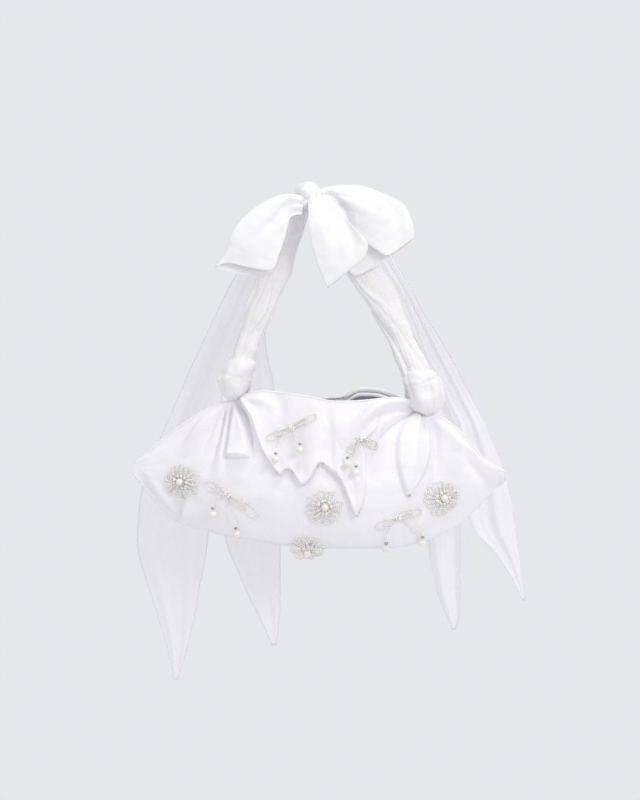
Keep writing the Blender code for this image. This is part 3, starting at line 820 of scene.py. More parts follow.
pouchGrid = refineAcross(pouchSections(), pouchShape["columns"])
rowCount = pouchGrid.shape[1]
rimX = pouchGrid[:, -1, 0]
rimShare = smooth01(np.arange(rowCount), rowCount - pouchShape["dropRows"], rowCount - 1)
dropEnd, dropFull = pouchShape["dropTo"]
leftShare = smooth01(rimX, *pouchShape["dropFrom"]) * smooth01(-rimX, -dropEnd, -dropFull)
pouchGrid[..., 2] -= pouchShape["backRimDrop"] * leftShare[:, None] * rimShare[None, :]
pouchGrid, seamShare = closeWings(pouchGrid)
pouchNormals = gridNormals(pouchGrid)
frontSpot = (pouchShape["columns"] // 2, 40, 1)  # a point well inside the front, and its y part
if pouchNormals[frontSpot] > 0:
    pouchNormals = -pouchNormals
pouchField = pouchFoldField(pouchGrid) * (1 - seamShare**4)
pouchRows = pouchGrid + pouchNormals * (pouchField - pouchShape["inset"])[..., None]


def buildPouch():
    shape = pouchShape
    facing = gridNormals(pouchRows)[frontSpot]
    shell = clothPiece("pouch_shell", pouchRows, pouchSatin, pouchShape["cloth"], -1.0, facing > 0)
    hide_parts("front_panel", "back_panel", "base_panel")
    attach(shell, "pouch")
    hems = newBuild()
    for row, lift in shape["hemLift"]:
        line = pouchRows[:, row] - np.array((0, lift, shape["hemSink"]))
        addTube(hems, line, pouchShape["hem"], sides=8)
    x = pouchRows[:, -1, 0]
    columns = (x > shape["rollReach"][0]) & (x < shape["rollReach"][1])
    rim = pouchRows[columns, -1]
    fall = pouchRows[columns, -4] - rim
    fall /= np.linalg.norm(fall, axis=1, keepdims=True)
    start = shape["rollReach"][0]
    swell = 0.3 + 0.7 * smooth01(x[columns], start, start + shape["rollTaper"])
    # The rolls inside the back rim take the lighter sash satin (slot 1): painted light that lifts the shade
    # inside the mouth.
    for drop, inward, radius in shape["rolls"]:
        path = rim + fall * drop - pouchNormals[columns, -1] * inward
        addTube(hems, path, radius * swell, slot=1, sides=14)
    for column in (0, -1):
        addTube(hems, pouchRows[column], pouchShape["hem"] * 0.8, sides=8)
    hem = finishBuild("pouch_hem", hems, [pouchSatin, litSashSatin])
    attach(hem, "pouch")
    return shell


pouchShell = buildPouch()
shellTree = meshTree(pouchShell.data)
print("pouch shell draped")

# Lining: a lighter bag inside the shell, which ends just under the hem.
liningShape = {"reach": (-0.094, 0.114), "top": 5, "inset": 0.0031, "cloth": 0.0005, "wrinkle": 0.0005}


def buildLining():
    shape = liningShape
    x = pouchGrid[:, 0, 0]
    columns = np.where((x > shape["reach"][0]) & (x < shape["reach"][1]))[0][::2]
    rows = np.r_[shape["top"]:pouchGrid.shape[1] - shape["top"]:2]
    base = pouchGrid[np.ix_(columns, rows)]
    normal = pouchNormals[np.ix_(columns, rows)]
    inward = np.minimum(pouchField[np.ix_(columns, rows)], 0)
    creases = ripple(base, 95.0, 8) * shape["wrinkle"]
    inset = shape["inset"] - inward + creases
    middle = (base[:, :1] + base[:, -1:]) / 2
    half = np.abs(base[..., 1] - middle[..., 1])
    inset = np.minimum(inset, np.maximum(half * 0.55, 0.0012))
    grid = base - normal * inset[..., None]
    lining = clothPiece("pouch_lining", grid, liningSatin, shape["cloth"], 0.0)
    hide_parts("lining")
    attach(lining, "pouch")


buildLining()
print("lining hung")


# Knots: a wrapped band over gathered cloth.
def knotRings(shape, rows=64, around=112):
    v = np.linspace(0.0, 1.0, rows)[:, None]
    u = np.linspace(0, 2 * math.pi, around, endpoint=False)[None, :]
    profile = np.clip(1 - np.abs(2 * v - 1) ** shape["square"], 0, 1) ** 0.42
    ends = shape["neck"] * smooth01(v, 0.5, 0.0) + shape["foot"] * smooth01(v, 0.5, 1.0)
    profile = np.maximum(profile, ends)
    bulk = np.ones((rows, around)) * profile
    for at, slope, turn, width, lift in shape["bands"]:
        middle = at + slope * np.sin(u - turn)
        edge = (v - middle) / width
        groove = 0.55 * lift * np.exp(-(((np.abs(edge) - 1.15) / 0.16) ** 2))
        bulk += lift * np.exp(-(edge**4)) - groove
    for turn, at, wide, tall, lift in shape["bulges"]:
        away = (u - turn + math.pi) % (2 * math.pi) - math.pi
        bulk += lift * np.exp(-((away / wide) ** 2) - ((v - at) / tall) ** 2)
    gather = np.abs(np.sin(u * shape["gathers"] / 2 + 2.0 * np.sin(u * 2 + v * 2)))
    bulk -= shape["gatherDepth"] * (1 - gather) * (smooth01(v, 0.62, 0.98) + 0.7 * smooth01(v, 0.3, 0.02))
    wide, deep, tall = shape["size"]
    x = bulk * wide * np.cos(u)
    y = bulk * deep * np.sin(u)
    z = tall * (1 - 2 * v) + 0 * u
    rings = np.stack([x, y, z], -1)
    swell = ripple(rings, shape["crumple"], shape["seed"])
    normal = np.stack([np.cos(u) + 0 * v, np.sin(u) + 0 * v, 0 * u * v], -1)
    rings = rings + normal * (swell * shape["crumpleDepth"])[..., None]
    rings[..., 0] += np.interp(v, np.linspace(0, 1, len(shape["shift"])), shape["shift"])
    lean = Matrix.Rotation(math.radians(shape["lean"]), 3, "Y")
    return rings @ np.array(lean).T + np.array(shape["centre"])


leftKnotShape = {
    "centre": (leftKnotBox[0].x + 0.0125, 0.0, leftKnotBox[1].z - 0.0135),
    "size": (0.0120, 0.0142, 0.0168),
    "square": 2.6,
    "shift": (0.0072, 0.0036, 0.0, 0.0, 0.0),
    "neck": 0.60,
    "foot": 0.42,
    "bands": ((0.27, 0.13, 5.2, 0.23, 0.06), (0.74, -0.10, 3.6, 0.24, 0.03)),
    "bulges": ((3.35, 0.53, 0.30, 0.07, 0.22), (4.5, 0.22, 0.8, 0.16, 0.08), (5.6, 0.80, 0.3, 0.12, -0.16),
               (4.1, 0.60, 0.16, 0.30, 0.07), (5.05, 0.70, 0.14, 0.22, 0.06)),
    "gathers": 9,
    "gatherDepth": 0.11,
    "crumple": 82.0,
    "crumpleDepth": 0.0026,
    "seed": 11,
    "lean": 0.0,
}
rightKnotShape = dict(
    leftKnotShape,
    centre=(rightKnotX + 0.0012, 0.0, (rightKnotBox[0].z + rightKnotBox[1].z) / 2 - 0.001),
    size=(0.0132, 0.0146, 0.0185),
    square=3.0,
    shift=(-0.0060, -0.0022, 0.0, 0.0, 0.0010),
    bands=((0.14, -0.08, 5.6, 0.12, 0.04), (0.62, 0.12, 4.4, 0.36, 0.06)),
    bulges=((0.0, 0.36, 0.42, 0.10, 0.17), (4.45, 0.55, 0.32, 0.34, 0.09), (5.15, 0.52, 0.10, 0.40, -0.13),
            (5.62, 0.50, 0.15, 0.42, 0.10), (3.95, 0.50, 0.10, 0.34, -0.08)),
    seed=23,
    lean=-9.0,
)


def buildKnot(name, shape, node):
    knot = roundPiece(name, knotRings(shape), shadedGatherSatin)
    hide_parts(node)
    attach(knot, "pouch")


buildKnot("left_knot", leftKnotShape, "knot_left")
buildKnot("right_knot", rightKnotShape, "knot_right")
print("knots tied")

# Strands: gathered sash, several rolls of cloth that twist slowly on the way up.
leftStrandLook = {
    "rows": 110,
    "around": 150,
    "widen": (1.0, 0.80, 0.90, 1.05, 1.05, 1.0),
    "rolls": 3,
    "layers": 3,
    "twist": 1.5,
    "phase": 0.7,
    "layer": 0.30,
    "valley": 0.11,
    "minor": 0.034,
    "crumple": 0.0013,
    "seed": 31,
    "intoHalf": 0.0080,
    "shift": (0.0, -1.0, -3.0, -3.0, -1.5, 0.0),
    "extraTop": 0.010,
    "knotTop": Vector(leftKnotShape["centre"]) + Vector((0.0055, 0.0, 0.0070)),
}
rightStrandLook = dict(
    leftStrandLook,
    widen=(1.0, 0.90, 0.90, 0.90, 0.95, 1.0),
    rolls=4,
    twist=-2.0,
    phase=2.0,
    seed=47,
    intoHalf=0.0105,
    shift=(0.0, -0.5, -2.0, -3.0, -2.0, 0.0),
    extraTop=0.012,
    knotTop=Vector(rightKnotShape["centre"]) + Vector((-0.0040, 0.0, 0.0085)),
)


def strandRings(node, look):
    # the middle line and half width of the CAD strand, eased sideways by shift (mm) and scaled by widen
    low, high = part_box(node)
    tree = cadTree(node)
    stations = []
    for z in np.linspace(low.z + 0.002, high.z - 0.003, 15):
        left = hit(tree, (low.x - 0.05, 0, z), (1, 0, 0))
        right = hit(tree, (high.x + 0.05, 0, z), (-1, 0, 0))
        stations.append(((left.x + right.x) / 2, z, (right.x - left.x) / 2))
    last = stations[-1]
    way = np.array(last[:2]) - np.array(stations[-3][:2])
    way /= np.linalg.norm(way)
    tip = (last[0] + way[0] * look["extraTop"], last[1] + way[1] * look["extraTop"], last[2] * 0.8)
    into = (look["knotTop"][0], look["knotTop"][2], look["intoHalf"])
    line = smoothLine([into] + stations[2:] + [tip], look["rows"])
    s = np.linspace(0, 1, look["rows"])
    widen = np.interp(s, np.linspace(0, 1, len(look["widen"])), look["widen"])
    half = line[:, 2] * widen
    line[:, 0] += np.interp(s, np.linspace(0, 1, len(look["shift"])), look["shift"]) / 1000  # from mm
    ways = np.gradient(line[:, :2], axis=0)
    ways /= np.linalg.norm(ways, axis=1, keepdims=True)
    across = np.stack([ways[:, 1], -ways[:, 0]], 1)
    angle = np.linspace(0, 2 * math.pi, look["around"], endpoint=False)[None, :]
    spin = look["twist"] * s[:, None] + 0.22 * np.sin(6.0 * s[:, None] + look["phase"])
    sway = 0.5 * np.sin(angle + 5 * s[:, None])
    lobe = np.abs(np.sin(look["rolls"] / 2 * (angle - spin) + look["phase"] + sway))
    fine = np.abs(np.sin(look["rolls"] * 2.5 * (angle + 0.4 * spin) + 0.8 * np.sin(5 * s[:, None])))
    swing = 0.30 * np.sin(11 * s[:, None] + look["phase"])
    turn = (angle - 1.4 * spin + swing) * look["layers"] / (2 * math.pi)
    layer = turn % 1.0
    layer = np.where(layer < 0.9, layer / 0.9, (1 - layer) / 0.1)
    bulk = 0.98 + look["layer"] * (layer - 0.5)
    bulk = bulk - look["valley"] * (1 - lobe) ** 3 - look["minor"] * (1 - fine) ** 2
    x = bulk * half[:, None] * np.cos(angle)
    plump = 0.56 + 0.40 * (1 - smooth01(s[:, None], 0.05, 0.28))
    y = bulk * half[:, None] * plump * np.sin(angle)
    flat = line[:, None, :2] + across[:, None] * x[..., None]
    rings = np.stack([flat[..., 0], y, flat[..., 1]], -1)
    outward = rings - np.stack([line[:, 0], 0 * line[:, 0], line[:, 1]], -1)[:, None]
    outward /= np.maximum(np.linalg.norm(outward, axis=2, keepdims=True), 1e-9)
    swell = ripple(rings, 52.0, look["seed"]) + 0.22 * ripple(rings, 150.0, look["seed"] + 1)
    return rings + outward * (swell * look["crumple"] * 1.6)[..., None], line


def buildStrand(name, node, look):
    rings, line = strandRings(node, look)
    strand = roundPiece(name, rings, shadedGatherSatin)
    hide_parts(node)
    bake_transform(strand)


buildStrand("left_strand", "handle_left_strand", leftStrandLook)
buildStrand("right_strand", "handle_right_strand", rightStrandLook)
print("strands gathered")

# Bow: three loops of broad ribbon and the wrap round their middle. Lines are (x, z) in millimetres.
leftLoop = {
    "top": ((-2, 12), (-9.8, 13.5), (-18.5, 13.0), (-31, 8.0), (-43.5, -1.0), (-52.6, -11.5), (-57, -23),
            (-59.5, -31.5)),
    "low": ((-3, -1), (-9, -1.5), (-13, -5), (-16, -17), (-20.5, -30), (-26.0, -41.5), (-43.5, -39.8),
            (-58, -36.6), (-68, -39.6)),
    "backLow": ((-3, -2), (-9, -2.5), (-13.5, -7), (-16.5, -19), (-21.5, -32), (-27.0, -43.2), (-44, -45.0),
                (-58, -43.4), (-68, -39.8)),
    "open": 10.5,
    "front": -19.6,
    "back": -8.5,
    "pleats": 2.5,
    "pleatDepth": 1.3,
    "folds": {
        "topDent": ("roll", ((-13, 9), (-17, 4), (-20, 0)), (2.2, 3.2), (1.6, 1.6, 0)),
        "longDent": ("roll", ((-12, 3), (-24, -6), (-40, -22)), (3.0, 6.0), (1.2, 1.4, 0)),
        "outerSwell": ("roll", ((-24, 5), (-42, -12), (-50, -28)), (8.0,), (-0.8, -2.2, -1.0)),
    },
}
rightLoop = {
    "top": ((3, 14), (9, 17), (19, 19.4), (39, 19.8), (57, 13.8), (71.5, 6.0), (77.2, -3.8), (80.2, -16.5)),
    "low": ((5, 0), (13, 0), (22, -3), (31.5, -12.5), (42.8, -20.8), (51.5, -26.5), (60, -31.0), (71, -24),
            (80.2, -17.5)),
    "backLow": ((6, 4), (13, 4), (22, -6), (28, -24), (34, -45), (48, -41), (62, -33), (73, -25),
                (80.0, -17.5)),
    "open": 10.5,
    "front": -19.6,
    "back": -8.5,
    "pleats": 3.5,
    "pleatDepth": 1.6,
    "folds": {
        "rootCrease": ("roll", ((17, 14), (25, 7), (33, -6)), (1.8, 3.0), (2.2, 2.4, 0.4)),
        "backRidge": ("roll", ((20, 15), (40, 4), (58, -12)), (5.0, 9.0), (-1.4, -2.0, 0)),
        "tipDent": ("roll", ((60, 6), (68, -8), (66, -22)), (4.0, 6.0), (0.6, 1.4, 0.6)),
    },
}
frontLoop = {
    "top": ((2, 15), (1.6, 8), (2.2, -4), (4.6, -22), (9.5, -40), (16, -55.4)),
    "low": ((12, 15), (17, 10), (24, 3.0), (34, -11.3), (42, -19), (45.0, -25), (42.8, -33.8)),
    "backLow": ((12, 14), (17, 8), (24, 0.0), (33, -13), (40, -21), (43.0, -27), (42.8, -33.8)),
    "open": 10.0,
    "front": -33.0,
    "back": -22.0,
    "rootBack": 12.5,
    "pleats": 2.5,
    "pleatDepth": 1.6,
    "folds": {
        "softValley": ("roll", ((28, 0), (32.5, -14), (33.5, -26), (26.5, -41)),
                       (3.2, 5.0), (1.8, 3.2, 2.2, 0.4)),
        "leftSwell": ("roll", ((9, 8), (12, -12), (18, -38)), (5.0, 7.0), (-0.8, -2.2, -1.4)),
        "rimRoll": ("roll", ((22, 5), (33, -9), (42, -21)), (2.4, 3.0), (-1.0, -1.6, -1.0)),
    },
}


bowCloth = {
    "cloth": 0.0006,
    "hem": 0.00045,
    "backDip": -0.0012,
    "ripples": ((55.0, 61, 0.0011), (130.0, 62, 0.0004)),  # scale, seed and height
}


def loopRows(shape, long=64, across=44):
    top = smoothLine(shape["top"], long) * mm
    low = smoothLine(shape["low"], long) * mm
    backLow = smoothLine(shape["backLow"], long) * mm
    dip = np.sin(np.linspace(0, math.pi, long))[:, None]
    backTop = top + np.array((0.0, bowCloth["backDip"])) * dip
    v = np.linspace(0, 1, across)[None, :]
    p = np.linspace(0, 1, long)[:, None]
    middle = (shape["front"] + shape["back"]) / 2 * mm
    gape = np.sqrt(np.clip(1 - p**3.2, 0, 1)) * (0.34 + 0.66 * smooth01(p, 0.0, 0.45))
    gape = gape * shape["open"] / 2 * mm
    gape = gape * (0.74 + 0.26 * np.sin(math.pi * np.clip(v * 0.9 + 0.1, 0, 1)))
    wave = 1 - 2 * np.abs(np.sin(math.pi * shape["pleats"] * v))
    pleat = shape["pleatDepth"] * mm * np.exp(-p / 0.22) * wave
    layers = []
    for upper, lower, way in ((top, low, -1), (backTop, backLow, 1)):
        flat = upper[:, None] * (1 - v[..., None]) + lower[:, None] * v[..., None]
        x, z = flat[..., 0], flat[..., 1]
        y = middle + way * gape + pleat * 0.8
        if way < 0:
            y = y + foldSum(x, z, shape["folds"]) * (1 - p**6)
        y = y + shape.get("rootBack", 0.0) * mm * (1 - smooth01(p, 0.0, 0.42))
        layers.append(np.stack([x, y, z], -1))
    rows = np.vstack([layers[0], layers[1][-2::-1]])
    rows[..., 1] += sum(ripple(rows, scale, seed) * height for scale, seed, height in bowCloth["ripples"])
    return rows


def buildLoop(name, node, shape):
    rows = loopRows(shape)
    loop = clothPiece(name, rows, litSashSatin, bowCloth["cloth"])
    hems = newBuild()
    for edge in (0, -1):
        addTube(hems, rows[:, edge], bowCloth["hem"], sides=6)
    hem = finishBuild(name + "_hem", hems, [litSashSatin])
    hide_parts(node)
    for piece in (loop, hem):
        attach(piece, "handle")


buildLoop("left_loop", "bow_left_loop", leftLoop)
buildLoop("right_loop", "bow_right_loop", rightLoop)
buildLoop("front_loop", "bow_front_loop", frontLoop)

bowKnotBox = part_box("bow_knot")
bowWrapShape = dict(
    leftKnotShape,
    centre=tuple((a + b) / 2 + shift for a, b, shift in zip(*bowKnotBox, (0.0004, -0.003, -0.002))),
    size=(0.0086, 0.0125, 0.0112),
    shift=(0.0, 0.0),
    square=2.6,
    neck=0.45,
    foot=0.55,
    bands=((0.28, 0.14, 5.0, 0.30, 0.10), (0.80, -0.10, 4.4, 0.16, 0.06)),
    bulges=((0.3, 0.45, 0.5, 0.14, 0.10), (5.2, 0.42, 0.3, 0.16, -0.08)),
    gathers=10,
    seed=71,
)


def buildBowWrap():
    wrap = roundPiece("bow_wrap", knotRings(bowWrapShape, 56, 96), shadedGatherSatin)
    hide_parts("bow_knot")
    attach(wrap, "handle")


buildBowWrap()
print("bow tied")

# Tails: sheer ribbon that hangs behind the pouch, with rolled hems and soft folds along it.
tailLook = {
    "rows": 120,
    "columns": 40,
    "cloth": 0.0003,
    "hem": 0.00042,
    "stations": 34,
    "scanStep": 0.0008,
    "headUp": 0.024,
    "headBack": 0.006,
    "swell": 0.024,
    "curl": 0.0016,
    "curlWidth": 0.07,  # share of the ribbon's width
    "rippleScale": 34.0,
    "rippleDepth": 0.0012,
    "areaShare": 0.70,  # the ribbon tapers, so its cut is smaller than length times width
}
tails = {
    "sash_tail_outer_left": {"waves": 1.6, "depth": 0.0030, "phase": 0.4, "flat": (0.056, 0.375)},
    "sash_tail_inner_left": {"waves": 1.3, "depth": 0.0026, "phase": 2.2, "flat": (0.044, 0.345)},
    "sash_tail_inner_right": {"waves": 1.2, "depth": 0.0024, "phase": 1.1, "flat": (0.030, 0.335)},
    "sash_tail_outer_right": {"waves": 1.5, "depth": 0.0028, "phase": 3.0, "flat": (0.038, 0.315)},
}


def tailRows(node, look):
    low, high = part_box(node)
    tree = cadTree(node)
    stations = []
    for z in np.linspace(high.z - 0.001, low.z + 0.0015, tailLook["stations"]):
        found = []
        for x in np.arange(low.x - 0.001, high.x + 0.001, tailLook["scanStep"]):
            ahead = hit(tree, (x, -farOff, z), (0, 1, 0))
            behind = hit(tree, (x, farOff, z), (0, -1, 0))
            if ahead and behind:
                found.append((x, (ahead.y + behind.y) / 2))
        found = np.array(found)
        stations.append((found[0, 0], found[-1, 0], found[:, 1].mean(), z))
    first = np.array(stations[0])
    pull = (first[:2].mean()) * 0.78
    head = (first[0] - pull * 0.9, first[1] - pull * 0.9, first[2] - tailLook["headBack"],
            first[3] + tailLook["headUp"])
    line = smoothLine([head] + stations, tailLook["rows"])
    v = np.linspace(0, 1, tailLook["columns"])[None, :]
    s = np.linspace(0, 1, len(line))[:, None]
    left, right = line[:, 0:1], line[:, 1:2]
    x = left + (right - left) * v
    wide = (right - left) / (right - left).max()
    wave = np.sin(2 * math.pi * look["waves"] * (v + 0.12 * np.sin(3.4 * s)) + look["phase"] + 1.6 * s)
    second = np.sin(2 * math.pi * look["waves"] * 2.3 * v + 2.0 * look["phase"] - 2.2 * s)
    y = line[:, 2:3] + look["depth"] * wide * (0.35 + 0.65 * s) * (wave + 0.35 * second)
    edge = tailLook["curlWidth"]
    curl = np.exp(-((v / edge) ** 2)) - np.exp(-(((1 - v) / edge) ** 2))
    y = y + tailLook["curl"] * curl * wide
    z = line[:, 3:4] + 0 * v
    grow = 1 + tailLook["swell"] * np.clip(y - 0.012, 0, None) / 0.042
    x = aimPoint.x + (x - aimPoint.x) * grow
    z = aimPoint.z + (z - aimPoint.z) * grow
    rows = np.stack([x, y, z], -1)
    rows[..., 1] += ripple(rows, tailLook["rippleScale"], 81) * tailLook["rippleDepth"]
    return rows


def buildTail(node, look):
    rows = tailRows(node, look)
    ribbon = clothPiece(node.replace("sash_tail", "ribbon"), rows, tailChiffon, tailLook["cloth"])
    hems = newBuild()
    for edge in (0, -1):
        addTube(hems, rows[:, edge], tailLook["hem"], sides=6)
    addTube(hems, rows[-1], tailLook["hem"], sides=6)
    hem = finishBuild(ribbon.name + "_hem", hems, [rolledHem])
    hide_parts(node)
    for piece in (ribbon, hem):
        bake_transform(piece)


for tailNode, tailSettings in tails.items():
    buildTail(tailNode, tailSettings)
print("tails hung")


# Beadwork sits on the draped front of the pouch.
def onPouch(x, z):
    place, normal, _, _ = shellTree.ray_cast(Vector((x, -farOff, z)), Vector((0, 1, 0)))
    if place is None:
        place, normal, _, _ = shellTree.find_nearest(Vector((x, -0.02, z)))
    if normal.y > 0:
        normal = -normal
    return place, normal


flowerLook = {
    "petals": 15,
    "petalReach": 0.0136,
    "petalStart": 0.0042,
    "petalWidth": 0.0023,
    "seed": 0.00068,
    "step": 0.00138,
    "ringPearls": 9,
    "ringRadius": 0.0047,
    "ringPearl": 0.00128,
    "arch": 0.0024,
    "fillBeads": 26,
    "heart": 0.0027,
    "heartBeads": 10,
    "heartBead": 0.0006,
    "patchStep": 0.006,
    "lift": 0.0006,
}
threadWidth = 0.00016


def flowerPatch(number):
    # how a point (across, up, out) of flower number lies on the pouch, and its tilt
    low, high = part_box(f"bead_flower_{number}")
    centre = (low + high) / 2
    if number < 4:
        place, normal = onPouch(centre.x, centre.z)
        step = flowerLook["patchStep"]
        ways = ((1, 0), (-1, 0), (0, 1), (0, -1))
        spots = [onPouch(centre.x + dx * step, centre.z + dz * step) for dx, dz in ways]
        normal = sum((n for _, n in spots), normal).normalized()
        out = sum((p.y for p, _ in spots), place.y) / 5
        base = Vector((centre.x, min(place.y, out), centre.z))
    else:
        pearl = sum(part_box("bead_flower_4_pearl"), Vector()) / 2
        normal = (pearl - centre).normalized()
        base = shellTree.find_nearest(pearl - Vector((0, 0, 0.0035)))[0]
    side = Vector((0, 0, 1)).cross(normal).normalized()
    if side.x < 0:
        side = -side
    up = normal.cross(side).normalized()
    if up.z < 0:
        up = -up

    def place(across, rise, out):
        if number < 4:
            spot = onPouch(centre.x + across, centre.z + rise)[0]
            flat = base + side * across + up * rise
            spot.y = min(spot.y, (spot.y + flat.y) / 2)
            return spot + normal * (out + flowerLook["lift"])
        # its upper petals lie on the cloth, and the lower ones hang free below the edge
        flat = base + side * across + up * rise
        spot, facing, _, _ = shellTree.find_nearest(flat)
        if facing.y > 0:
            facing = -facing
        onCloth = float(smooth01(rise, 0.0, 0.006))
        return flat.lerp(spot, onCloth) + normal.lerp(facing, onCloth) * (out + flowerLook["lift"])
    return place


def buildFlower(number):
    look = flowerLook
    pick = random.Random(500 + number)
    patch = flowerPatch(number)
    build = newBuild()
    for petal in range(look["petals"]):
        angle = 2 * math.pi * (petal + pick.uniform(-0.25, 0.25)) / look["petals"]
        reach = look["petalReach"] * pick.uniform(0.86, 1.03)
        width = look["petalWidth"] * pick.uniform(0.75, 1.15)
        arch = look["arch"] * pick.uniform(0.5, 1.35)
        sway = pick.uniform(-0.22, 0.22)
        outline = []
        for t in np.linspace(0, 2 * math.pi, 33):
            along = (1 - math.cos(t)) / 2
            r = look["petalStart"] + (reach - look["petalStart"]) * along
            w = width * math.sin(t) * (0.45 + 0.75 * along)
            a = angle + sway * along
            out = 0.0003 + arch * math.sin(math.pi * min(1.0, 0.15 + 0.8 * along))
            across = r * math.cos(a) - w * math.sin(a)
            rise = r * math.sin(a) + w * math.cos(a)
            outline.append(patch(across, rise, out)[:])
        outline = np.array(outline)
        length = np.linalg.norm(np.diff(outline, axis=0), axis=1).sum()
        addTube(build, smoothLine(outline, 24), threadWidth, slot=3, sides=4)
        beads = smoothLine(outline, max(6, int(length / look["step"])))
        for bead, way in zip(beads[:-1], np.diff(beads, axis=0)):
            size = look["seed"] * pick.uniform(0.82, 1.12)
            addBall(build, bead, size, slot=0 if pick.random() < 0.72 else 1, axis=way, squash=0.78)
    for k in range(look["ringPearls"]):
        a = 2 * math.pi * (k + pick.uniform(-0.2, 0.2)) / look["ringPearls"]
        r = look["ringRadius"] * pick.uniform(0.86, 1.12)
        out = pick.uniform(0.0014, 0.0030)
        spot = patch(r * math.cos(a), r * math.sin(a), out)
        size = look["ringPearl"] * pick.uniform(0.8, 1.15)
        addBall(build, spot, size, slot=2 if k % 3 else 1, detail=3)
    for _ in range(look["fillBeads"]):
        a = pick.uniform(0, 2 * math.pi)
        r = pick.uniform(0.0030, 0.0092)
        spot = patch(r * math.cos(a), r * math.sin(a), pick.uniform(0.0004, 0.0026))
        size = look["seed"] * pick.uniform(0.8, 1.2)
        addBall(build, spot, size, slot=pick.choice((0, 1, 1)), axis=(a, r, 0.5), squash=0.8)
    flower = finishBuild(f"flower_{number}", build, [seedGlass, warmSeed, pearlShell, beadThread])
    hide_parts(f"bead_flower_{number}")
    heart = newBuild()
    radius = look["heart"]
    addBall(heart, patch(0.0, 0.0, 0.0040), radius, detail=4)
    for k in range(look["heartBeads"]):
        a = 2 * math.pi * k / look["heartBeads"]
        addBall(heart, patch(radius * math.cos(a), radius * math.sin(a), 0.0022), look["heartBead"], slot=1)
    pearl = finishBuild(f"flower_{number}_heart", heart, [pearlShell, warmSeed])
    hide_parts(f"bead_flower_{number}_pearl")
    for piece in (flower, pearl):
        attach(piece, "pouch")


for flowerNumber in (1, 2, 3, 4):
    buildFlower(flowerNumber)
print("flowers beaded")

# Beaded bows, each with two loops and two strands that end at the drops.
# Loop tips are (across, up) from the middle of the bow, in millimetres.
beadBows = {
    1: {"middle": (-10.5, -159), "left": (-19.5, -9.0), "right": (18.0, 9.0), "width": 3.4},
    2: {"middle": (-58.5, -209), "left": (-16.0, 9.0), "right": (24.0, -16.0), "width": 4.6},
    3: {"middle": (67.5, -226), "left": (-16.0, -7.0), "right": (18.0, 5.0), "width": 4.0},
    4: {"middle": (39, -167), "left": (-7.5, -11.0), "right": (14.5, -6.5), "width": 4.0},
}
bowBeading = {
    "seed": 0.00062,
    "step": 0.00128,
    "strandStep": 0.00122,
    "lift": 0.0011,
    "middleBead": 0.0009,
    "middleRing": 0.0016,
}


def beadLine(build, line, pick, size, step, slots):
    length = np.linalg.norm(np.diff(line, axis=0), axis=1).sum()
    beads = smoothLine(line, max(4, int(length / step)))
    for bead, way in zip(beads, np.gradient(beads, axis=0)):
        addBall(build, bead, size * pick.uniform(0.85, 1.12), slot=pick.choice(slots), axis=way, squash=0.8)
    addTube(build, line, threadWidth, slot=3, sides=4)


def surfaceLine(flat, lift):
    found = []
    for k, (x, z) in enumerate(flat):
        place, normal = onPouch(x, z)
        rise = lift if np.isscalar(lift) else lift[k]
        found.append(place + normal * rise)
    return np.array([p[:] for p in found])


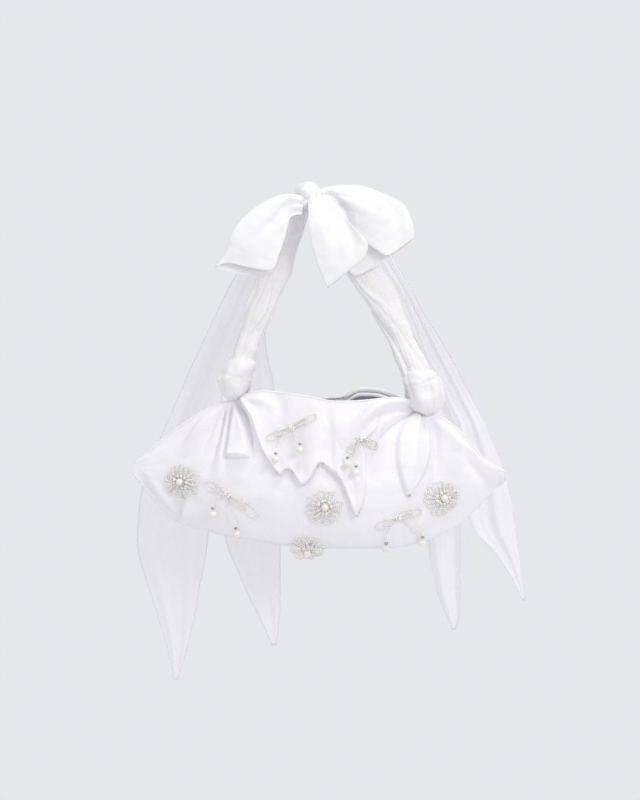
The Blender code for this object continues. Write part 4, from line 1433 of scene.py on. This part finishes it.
def buildBeadBow(number):
    look, shape = bowBeading, beadBows[number]
    pick = random.Random(900 + number)
    build = newBuild()
    cx, cz = shape["middle"][0] * mm, shape["middle"][1] * mm
    for side in ("left", "right"):
        tip = np.array(shape[side]) * mm
        length = np.hypot(*tip)
        way = tip / length
        normal = np.array((-way[1], way[0]))
        for scale, lift in ((1.0, 1.0), (0.62, 1.6)):
            flat = []
            for t in np.linspace(0, 2 * math.pi, 29):
                along = (1 - math.cos(t)) / 2 * length * scale
                taper = 0.35 + 0.65 * (1 - math.cos(t)) / 2
                wide = shape["width"] * mm * math.sin(t) * taper * scale
                spot = way * along + normal * wide
                flat.append((cx + spot[0], cz + spot[1]))
            line = surfaceLine(flat, look["lift"] * lift)
            slots = (0, 0, 1) if scale == 1 else (0, 1, 1)
            beadLine(build, line, pick, look["seed"], look["step"], slots)
    for k in range(9):  # a ring of seven, then two stacked in its middle
        a = 2 * math.pi * k / 7
        r = 0.0 if k > 6 else look["middleRing"]
        spot, normal = onPouch(cx + r * math.cos(a), cz + r * math.sin(a))
        rise = 0.0014 + (0.0012 if k > 6 else 0) * (k - 6)
        addBall(build, spot + normal * rise, look["middleBead"], slot=k % 3, detail=3)
    for side in ("left", "right"):
        pivot = pivotOf(f"drop_{number}_{side}")
        flat = smoothLine([(cx, cz), ((cx + pivot[0]) / 2 - 0.0012, (cz + pivot[2]) / 2 + 0.001),
                           (pivot[0], pivot[2])], 16)
        line = surfaceLine(flat, look["lift"])
        share = np.linspace(0, 1, len(line))[:, None] ** 2
        line = line * (1 - share) + (line + np.array(pivot) - line[-1]) * share
        beadLine(build, line[:-1], pick, look["seed"], look["strandStep"], (0, 0, 1))
    bow = finishBuild(f"beaded_bow_{number}", build, [seedGlass, warmSeed, pearlShell, beadThread])
    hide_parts(f"bead_bow_{number}")
    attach(bow, "pouch")


for bowNumber in beadBows:
    buildBeadBow(bowNumber)


# Drops: a thread with small beads and a rondelle, then the pearl. Beads are (down, size, slot, squash).
dropShape = {
    "length": 0.0075,
    "thread": 0.00018,
    "beads": ((0.0007, 0.00062, 0, 0.8), (0.0018, 0.0007, 0, 0.8), (0.0034, 0.00150, 2, 0.55),
              (0.0046, 0.00075, 0, 0.7)),
    "tipBead": 0.0005,
}


def buildDrop(number, side):
    name = f"drop_{number}_{side}"
    pivot = Vector(pivotOf(name))
    low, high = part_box(name + "_pearl")
    centre = (low + high) / 2
    radius = (high.z - low.z) / 2
    way = (centre - pivot).normalized()
    link = newBuild()
    thread = [(pivot + way * d)[:] for d in np.linspace(0, dropShape["length"], 6)]
    addTube(link, thread, dropShape["thread"], slot=1, sides=5)
    for at, size, slot, squash in dropShape["beads"]:
        addBall(link, pivot + way * at, size, slot=slot, detail=3, axis=way, squash=squash)
    linkPiece = finishBuild(name + "_beads", link, [seedGlass, beadThread, rondelleMetal])
    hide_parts(name + "_link")
    pearl = newBuild()
    addBall(pearl, centre, radius, detail=4, axis=way, squash=1.04)
    addBall(pearl, centre + way * (radius * 1.05), dropShape["tipBead"], slot=1, detail=2)
    pearlPiece = finishBuild(name + "_bead", pearl, [pearlShell, seedGlass])
    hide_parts(name + "_pearl")
    for piece in (linkPiece, pearlPiece):
        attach(piece, name)


for bowNumber in beadBows:
    for dropSide in ("left", "right"):
        buildDrop(bowNumber, dropSide)
print("bows and drops beaded")
